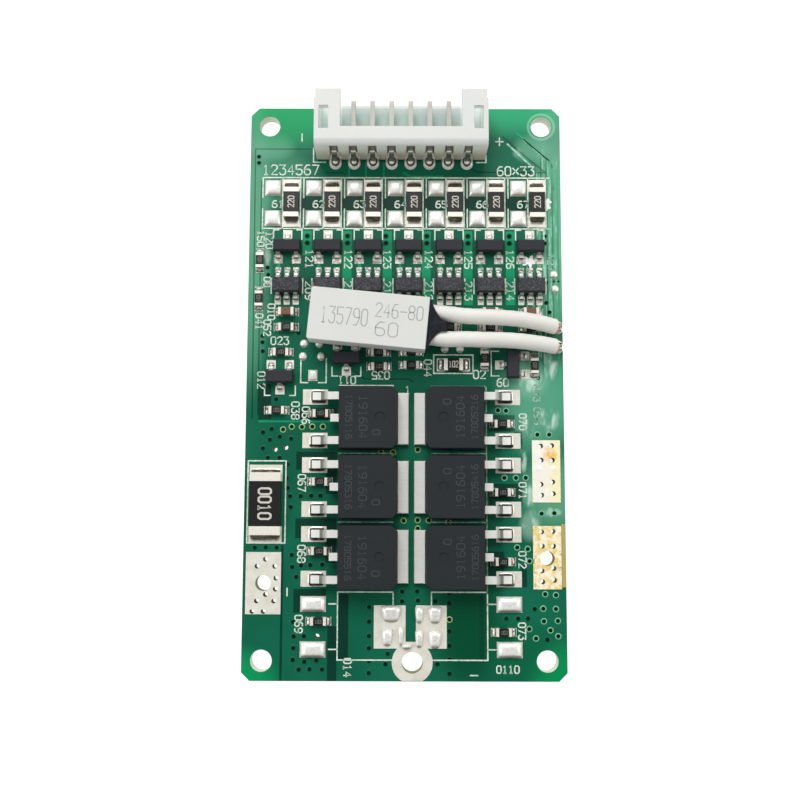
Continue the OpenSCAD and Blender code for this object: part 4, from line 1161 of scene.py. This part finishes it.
# text, middle x and y, height and turn in degrees of the numbers beside single parts
LABELS = [
    ("150", -15.27, 15.69, 0.72, -90), ("120", -14.33, 15.52, 0.78, -90), ("08", -14.51, 11.01, 0.7, -90),
    ("010", -14.03, 7.83, 0.72, -90), ("052", -14.43, 6.12, 0.72, -90), ("041", -15.28, 6.8, 0.72, -90),
    ("023", -13.09, 4.76, 0.8, 0), ("011", -6.04, 0.62, 0.78, 180), ("035", -2.52, 1.14, 0.78, 180),
    ("012", -14.95, 0.6, 0.75, -90), ("02", 7.77, 1.25, 0.85, 0), ("044", 2.41, 1.91, 0.75, -90),
    ("09", 10.19, 0.41, 0.8, 180), ("038", -11.36, -2.57, 0.78, -90), ("066", -10.26, -3.07, 0.75, -90),
    ("067", -10.59, -10.06, 0.75, -90), ("068", -10.54, -17.29, 0.75, -90),
    ("069", -10.73, -24.34, 0.75, -90), ("070", 12.23, -3.69, 0.72, -90),
    ("071", 12.15, -10.8, 0.72, -90), ("072", 12.05, -17.83, 0.72, -90), ("073", 11.94, -25.0, 0.72, -90),
    ("1", 0.3, -0.4, 0.8, 0), ("014", -5.74, -28.65, 0.78, -90), ("0110", 10.47, -28.8, 0.72, 0),
    ("60x33", 11.75, 23.1, 0.98, 0), ("1234567", -12.2, 23.2, 1.05, 0), ("+", 10.05, 26.35, 1.3, 0),
    ("-", -11.05, 26.75, 1.4, -90), ("-", -11.95, -21.15, 1.3, -90), ("-", 7.05, -29.4, 1.3, 0)]


def printed_numbers():
    """Counting numbers beside the parts, and signs beside the wire pads."""
    lines = []
    for k, (x, _) in enumerate(cells):
        lines += numbers(str(61 + k), x - 1.45, cell_y - 0.1, 0.72)
    for k, x in enumerate((-10.1, -6.0, -1.9, 2.5, 6.66, 11.07)):
        for first, y in ((121, 13.5), (209, 10.1)):
            lines += numbers(str(first + k), x, y, 0.76, -90)
    for mark, x, y, height, turn in LABELS:
        lines += numbers(mark, x, y, height, turn, 0.9)
    return lines


marks("printed_numbers", printed_numbers(), ink_width, ink, ink_z)
worn_labels = numbers("127", 15.35, 13.2, 0.7, -90) + numbers("043", 13.7, -0.7, 0.68, -90)
worn_labels += numbers("095", 13.75, -3.1, 0.68, -90)
marks("rubbed_numbers", worn_labels, 0.12, faint_ink, ink_z)


# %% Mark the parts themselves
pale_ink = two_tones("d9d6ca", "a8a598", (0.3, 3), 0.5)
chip_ink = two_tones("85847d", "5f5e58", (0.3, 3), 0.5)
laser_ink = two_tones("373c3e", "2a2f31", (0.4, 3), 0.6)
grey_ink = two_tones("8c8d89", "acada8", (0.5, 3), 0.5)


def on_top(node, strokes, width):
    """Marks on the top face of a node."""
    z = box(node)[1][2]
    return [ribbon(line, width, z - 0.002, 0.008) for line in strokes]


resistor_marks = []
for x, y in cells:
    resistor_marks += on_top("balance_resistor_1", numbers("220", x, y, 0.62, 90, 0.76), 0.1)
shunt_x, shunt_y, _ = middle("shunt_body")
resistor_marks += on_top("shunt_body", numbers("0010", shunt_x, shunt_y, 1.25, -90, 0.72), 0.2)
resistor_marks += on_top("balance_resistor_1", numbers("102", *mid_chip, 0.62, 0, 0.6), 0.09)
chip_marks = []
for x, y, turn in SMALL_CHIPS + [(x, low_y, 0) for x, _ in transistors]:
    chip_marks += on_top("chip_resistors", numbers("103", x, y, 0.36, turn, 0.7), 0.055)
laser_marks = []
for k, (x, y) in enumerate(fets):
    turn, back = (-90, -1) if x < fet_axis else (90, 1)
    strokes = numbers("191604", x + back * 0.5, y, 0.8, turn)
    strokes += numbers(f"17805{k + 1}16", x + back * 1.95, y, 0.62, turn)
    strokes += numbers("0", x - back * 0.83, y + back * 1.58, 0.75, turn)
    laser_marks += on_top("mosfet_body_1", strokes, 0.09)
piece("resistor_values", resistor_marks, material("pale_ink", pale_ink), smooth=False)
piece("small_chip_values", chip_marks, material("grey_chip_ink", chip_ink), smooth=False)
piece("laser_numbers", laser_marks, material("laser_mark", laser_ink), smooth=False)
switch_x, switch_y, switch_z = middle("switch_case")
tilt = -5.4
case_marks = numbers("135790", switch_x - 2.45, switch_y + 0.2, 1.7, tilt, 0.52)
case_marks += numbers("246-80", switch_x + 3.15, switch_y + 0.62, 1.4, tilt, 0.64)
case_marks += numbers("60", switch_x + 1.85, switch_y - 1.2, 1.4, tilt)
piece("case_numbers", on_top("switch_case", case_marks, 0.11), material("grey_ink", grey_ink),
      smooth=False)


# %% [markdown]
# ## Sleeves and stranded leads
#
# The switch's two leads run in glass-fibre sleeves. The sleeve is a thick-walled tube that
# follows the lead, swells and thins a little over its length and is scorched brown where the
# iron touched its cut end. The lead itself is seven strands laid round each other.

# %% Carry the sleeves along their routes
def smooth_route(points, samples=6):
    """Catmull-Rom curve through the points: a cubic through each pair whose slope at a point
    is half the step between that point's two neighbours."""
    p = np.array(points, float)
    p = np.vstack([2 * p[0] - p[1], p, 2 * p[-1] - p[-2]])
    t = np.linspace(0, 1, samples, endpoint=False)[:, None]
    stretches = []
    for a, b, c, d in zip(p, p[1:], p[2:], p[3:]):
        stretches.append(0.5 * (2 * b + (c - a) * t + (2 * a - 5 * b + 4 * c - d) * t ** 2
                                + (3 * b - a - 3 * c + d) * t ** 3))
    return np.vstack(stretches + [p[-2][None]])


# for each lead: points of its arc and the end of its conductor, from the board's right edge,
# the case's middle and the board's top, and how far beside the case's middle line it starts
LEADS = {
    1: ([(-10.5, 0.45, 2.36), (-8.5, 0.38, 2.26), (-6.45, 0.32, 2.08), (-4.4, 0.19, 1.78),
         (-2.35, -0.13, 1.42), (-1.3, -0.33, 1.04)], (-0.32, -0.47, 0.62), 1.4),
    2: ([(-10.5, -1.95, 2.36), (-8.5, -1.99, 2.26), (-6.45, -1.99, 2.04), (-4.4, -2.07, 1.7),
         (-2.35, -2.27, 1.34), (-1.3, -2.41, 1.02)], (-0.32, -2.51, 0.62), -1.2),
}


def lead_route(number, start, share):
    """Points of a lead from start past the case's mouth to a share of its last stretch."""
    spine, tip, v = LEADS[number]
    corner = np.array((right, switch_y, board_z))
    spine, tip = corner + spine, corner + tip
    mouth = 6.05
    by_mouth = [(*turned(switch_x, switch_y, mouth + u, v, tilt), switch_z) for u in (start, 2.3)]
    return smooth_route(np.vstack([by_mouth, spine, spine[-1] + (tip - spine[-1]) * share]))


def sleeve_recipe(f):
    along = f.node("ShaderNodeUVMap", {"uv_map": "along"})
    share = Field(f.tree, f.node("ShaderNodeSeparateXYZ", None, {0: along}).socket)
    ragged = share + f.noise(0.7, 4, 0.7) * 0.035
    tone = f.tint("dcdbd6", "d0cec6", f.noise(2.5, 3))
    tone = f.tint(tone, "d9c9b4", ragged.within(0.93, 1.0))
    tone = f.tint(tone, "6b4630", ragged.within(0.995, 1.03))
    knit = f.noise(0.16, 2, 0.6, (0.3, 1, 1))
    return {"Base Color": tone, "Roughness": 0.5 + knit * 0.12, "Subsurface Weight": 0.06,
            "Subsurface Scale": 0.0008, "Normal": f.bump(knit, 0.012, 0.6)}


def sleeve(number, sides=32):
    """Outer and inner wall of a sleeve, joined by a rounded rim at both ends."""
    path = lead_route(number, 0.1, 0.36)
    n = len(path)
    ripple = 0.012 * np.sin(np.arange(n) * 1.9 + number)
    outer = tube(path, 0.81 + ripple, sides)
    inner = tube(path, 0.54 + ripple, sides)
    walls = (outer + inner) / 2
    far_rim = walls[-1:] + (path[-1] - path[-2]) * 0.08
    near_rim = walls[:1] + (path[1] - path[0]) * 0.08
    wall = np.concatenate([outer, far_rim, inner[::-1], near_rim, outer[:1]])
    points, faces = grid_part(wall[::-1], closed=True)
    share = np.concatenate([np.linspace(0, 1, n), [1.01], np.linspace(1, 0, n), [0.0, 0.0]])[::-1]
    uv = np.c_[np.repeat(share, sides), np.tile(np.arange(sides) / sides, len(share))]
    made = piece(f"sleeve_{number}", [(points, faces)], glass_sleeve, uv=uv)
    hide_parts(f"switch_sleeve_{number}")


def strands(number):
    """One core strand and six round it, turning once in six millimetres."""
    path = lead_route(number, -1.1, 0.94)
    run = np.r_[0, np.cumsum(np.linalg.norm(np.diff(path, axis=0), axis=1))]
    thick, off, sides, steps = 0.15, 0.29, 8, 360
    parts = [grid_part(tube(path, thick, sides), closed=True)]
    rings = tube(path, 1.0, steps)
    for k in range(6):
        turn = ((run / 6 + k / 6) * steps).astype(int) % steps
        spoke = rings[np.arange(len(path)), turn] - path
        parts.append(grid_part(tube(path + spoke * off, thick, sides), closed=True))
    made = piece(f"stranded_lead_{number}", parts, strand_metal)
    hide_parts(f"switch_wire_{number}")


glass_sleeve = material("glass_fibre_sleeve", sleeve_recipe)
worn_tin = two_tones("d8cdbb", "8a5a3c", (0.6, 4, 0.7), 0.3, (0.4, 0.62), 0.2, more={"Metallic": 0.85})
strand_metal = material("tinned_strands", worn_tin)
for number in (1, 2):
    sleeve(number)
    strands(number)


# %% [markdown]
# ## Copper under the mask
#
# Copper is thicker than ink, so its edges show as steps in the lacquer. Broad fields are
# slabs with a few corners, and tracks are ribbons.

# %% Lay the copper fields and cut the gaps
gap_x = (-10.35, -6.1, -1.85, 2.25, 6.65, 11.1)
bright_fields = [(x - 0.5, 13.9 if k == 0 else 8.6, x + 0.45, 16.55) for k, x in enumerate(gap_x)]
bright_fields += [(x - 1.1, 12.0, x - 0.75, 13.0) for x, _ in transistors]
trenches = [(x + 0.98, cell_y - 0.7, x + 3.15, cell_y + 0.75) for x, _ in cells[:6]]
trenches += [
    (-12.62, -30.0, -12.38, -16.4), (-11.3, -23.2, -8.0, -20.85), (-7.8, -30.0, -6.86, -24.55),
    (-6.75, -27.8, -5.7, -21.35), (-11.2, -8.7, -7.0, -6.85), (-8.1, -11.2, -7.0, -8.7),
    (-11.2, -15.7, -7.0, -13.7), (-8.1, -18.2, -7.0, -15.7), (-11.2, -3.5, -7.0, -2.3),
    (7.6, -27.8, 8.1, -21.4), (8.7, -4.7, 11.4, -3.0), (8.6, -19.7, 10.2, -17.0),
    (8.7, -12.4, 12.1, -10.1), (-15.2, -3.5, -13.9, 0.2), (11.3, -6.5, 12.2, -4.7),
    (11.9, -20.6, 12.5, -18.4)]
fields("thin_copper_fields", bright_fields, 0.008, mask_bright)
fields("copper_gaps", trenches, 0.006, mask_bare)

# %% Run the tracks and grooves
grooves = [
    [(-10.1, 25.5), (-16.0, 25.5), (-15.85, -3.4)], [(-15.3, 22.0), (-15.25, -3.0)],
    [(12.1, 27.0), (15.6, 24.0), (15.75, 21.0)], [(10.4, 26.9), (13.3, 24.3), (15.0, 22.9)],
    [(-8.4, 22.9), (-6.6, 22.9)], [(6.2, 24.0), (7.6, 23.0), (14.8, 22.95)],
    [(-5.4, 1.7), (-4.2, 0.75), (0.4, 0.75), (0.9, 0.4)]]
tracks = [
    [(15.65, 23.4), (15.65, 4.6)], [(16.15, 23.6), (16.12, 3.0)], [(11.9, 27.3), (15.9, 23.8)],
    [(-15.1, -3.71), (-7.75, -3.71)], [(15.2, 11.15), (16.25, 11.15)], [(-6.0, 22.5), (-6.0, 24.0)],
    [(-4.2, 22.5), (-4.2, 24.0)], [(-2.3, 22.5), (-2.3, 24.0)], [(-0.2, 22.9), (0.6, 22.5), (4.0, 22.5)],
    [(16.2, 2.0), (16.2, -4.5)]]
shines = [[(10.9, 26.1), (13.6, 23.5)], [(12.6, 26.6), (15.3, 24.25)]]
marks("dark_grooves", grooves, 0.13, mask_bare, board_z, 0.004)
marks("bright_tracks", tracks, 0.2, mask_bright, board_z, 0.012)
# the two diagonal tracks by the upper right corner are raised ribbons with a painted sheen
rubbed = two_tones("3d9a74", "a9d6c0", (0.8, 3), 0.3, (0.3, 0.7), 0.2)
marks("rubbed_tracks", shines, 0.18, material("sheen_painted_mask", rubbed), board_z, 0.012)
laminate = two_tones("b9a562", "9d8f4e", (0.3, 3, 0.7, (1, 0.25, 1)), 0.45, relief=(0.01, 0.5))
fields("bare_edge_strip", [(right - 0.42, -20.6, right - 0.02, -14.2)], 0.006,
       material("bare_laminate", laminate))


# %% [markdown]
# ## Which way each surface faces
#
# Solder turned to the lower edge gets a painted shade. Each mesh stores how far its corners
# face that way: the corner's normal times a direction that leans up a little.

# %% Store how far each corner faces the lower edge
lower_way = np.array([0, -0.95, 0.3])
meshes = [thing.data for thing in bpy.data.objects if thing.type == "MESH"]
for mesh in meshes:
    normals = np.empty(len(mesh.loops) * 3, np.float32)
    mesh.corner_normals.foreach_get("vector", normals)
    side = mesh.attributes.new("lower_side", "FLOAT", "CORNER")
    side.data.foreach_set("value", (normals.reshape(-1, 3) @ lower_way).astype(np.float32))
print(len(meshes), "meshes know which way they face")


# %% [markdown]
# ## Table top and view
#
# The board stands on the tips of its contacts on a white sheet.

# %% Lay the sheet and finish
paper = two_tones("7b7b7b", "767676", (60,), 0.9,
                  more={"Emission Color": (1.0, 1.0, 1.0), "Emission Strength": 1.0})
sheet = bpy.data.meshes.new("white_sheet")
reach = 600
sheet_z = cad_box[0][2] / MM - 0.02
corners = [(x * MM, y * MM, sheet_z * MM) for x, y in rectangle(-reach, -reach, reach, reach)]
sheet.from_pydata(corners, [], [(0, 1, 2, 3)])
sheet.materials.append(material("white_paper", paper))
floor = bpy.data.objects.new("white_sheet", sheet)
bpy.context.scene.collection.objects.link(floor)
bpy.context.scene.view_settings.view_transform = "Standard"
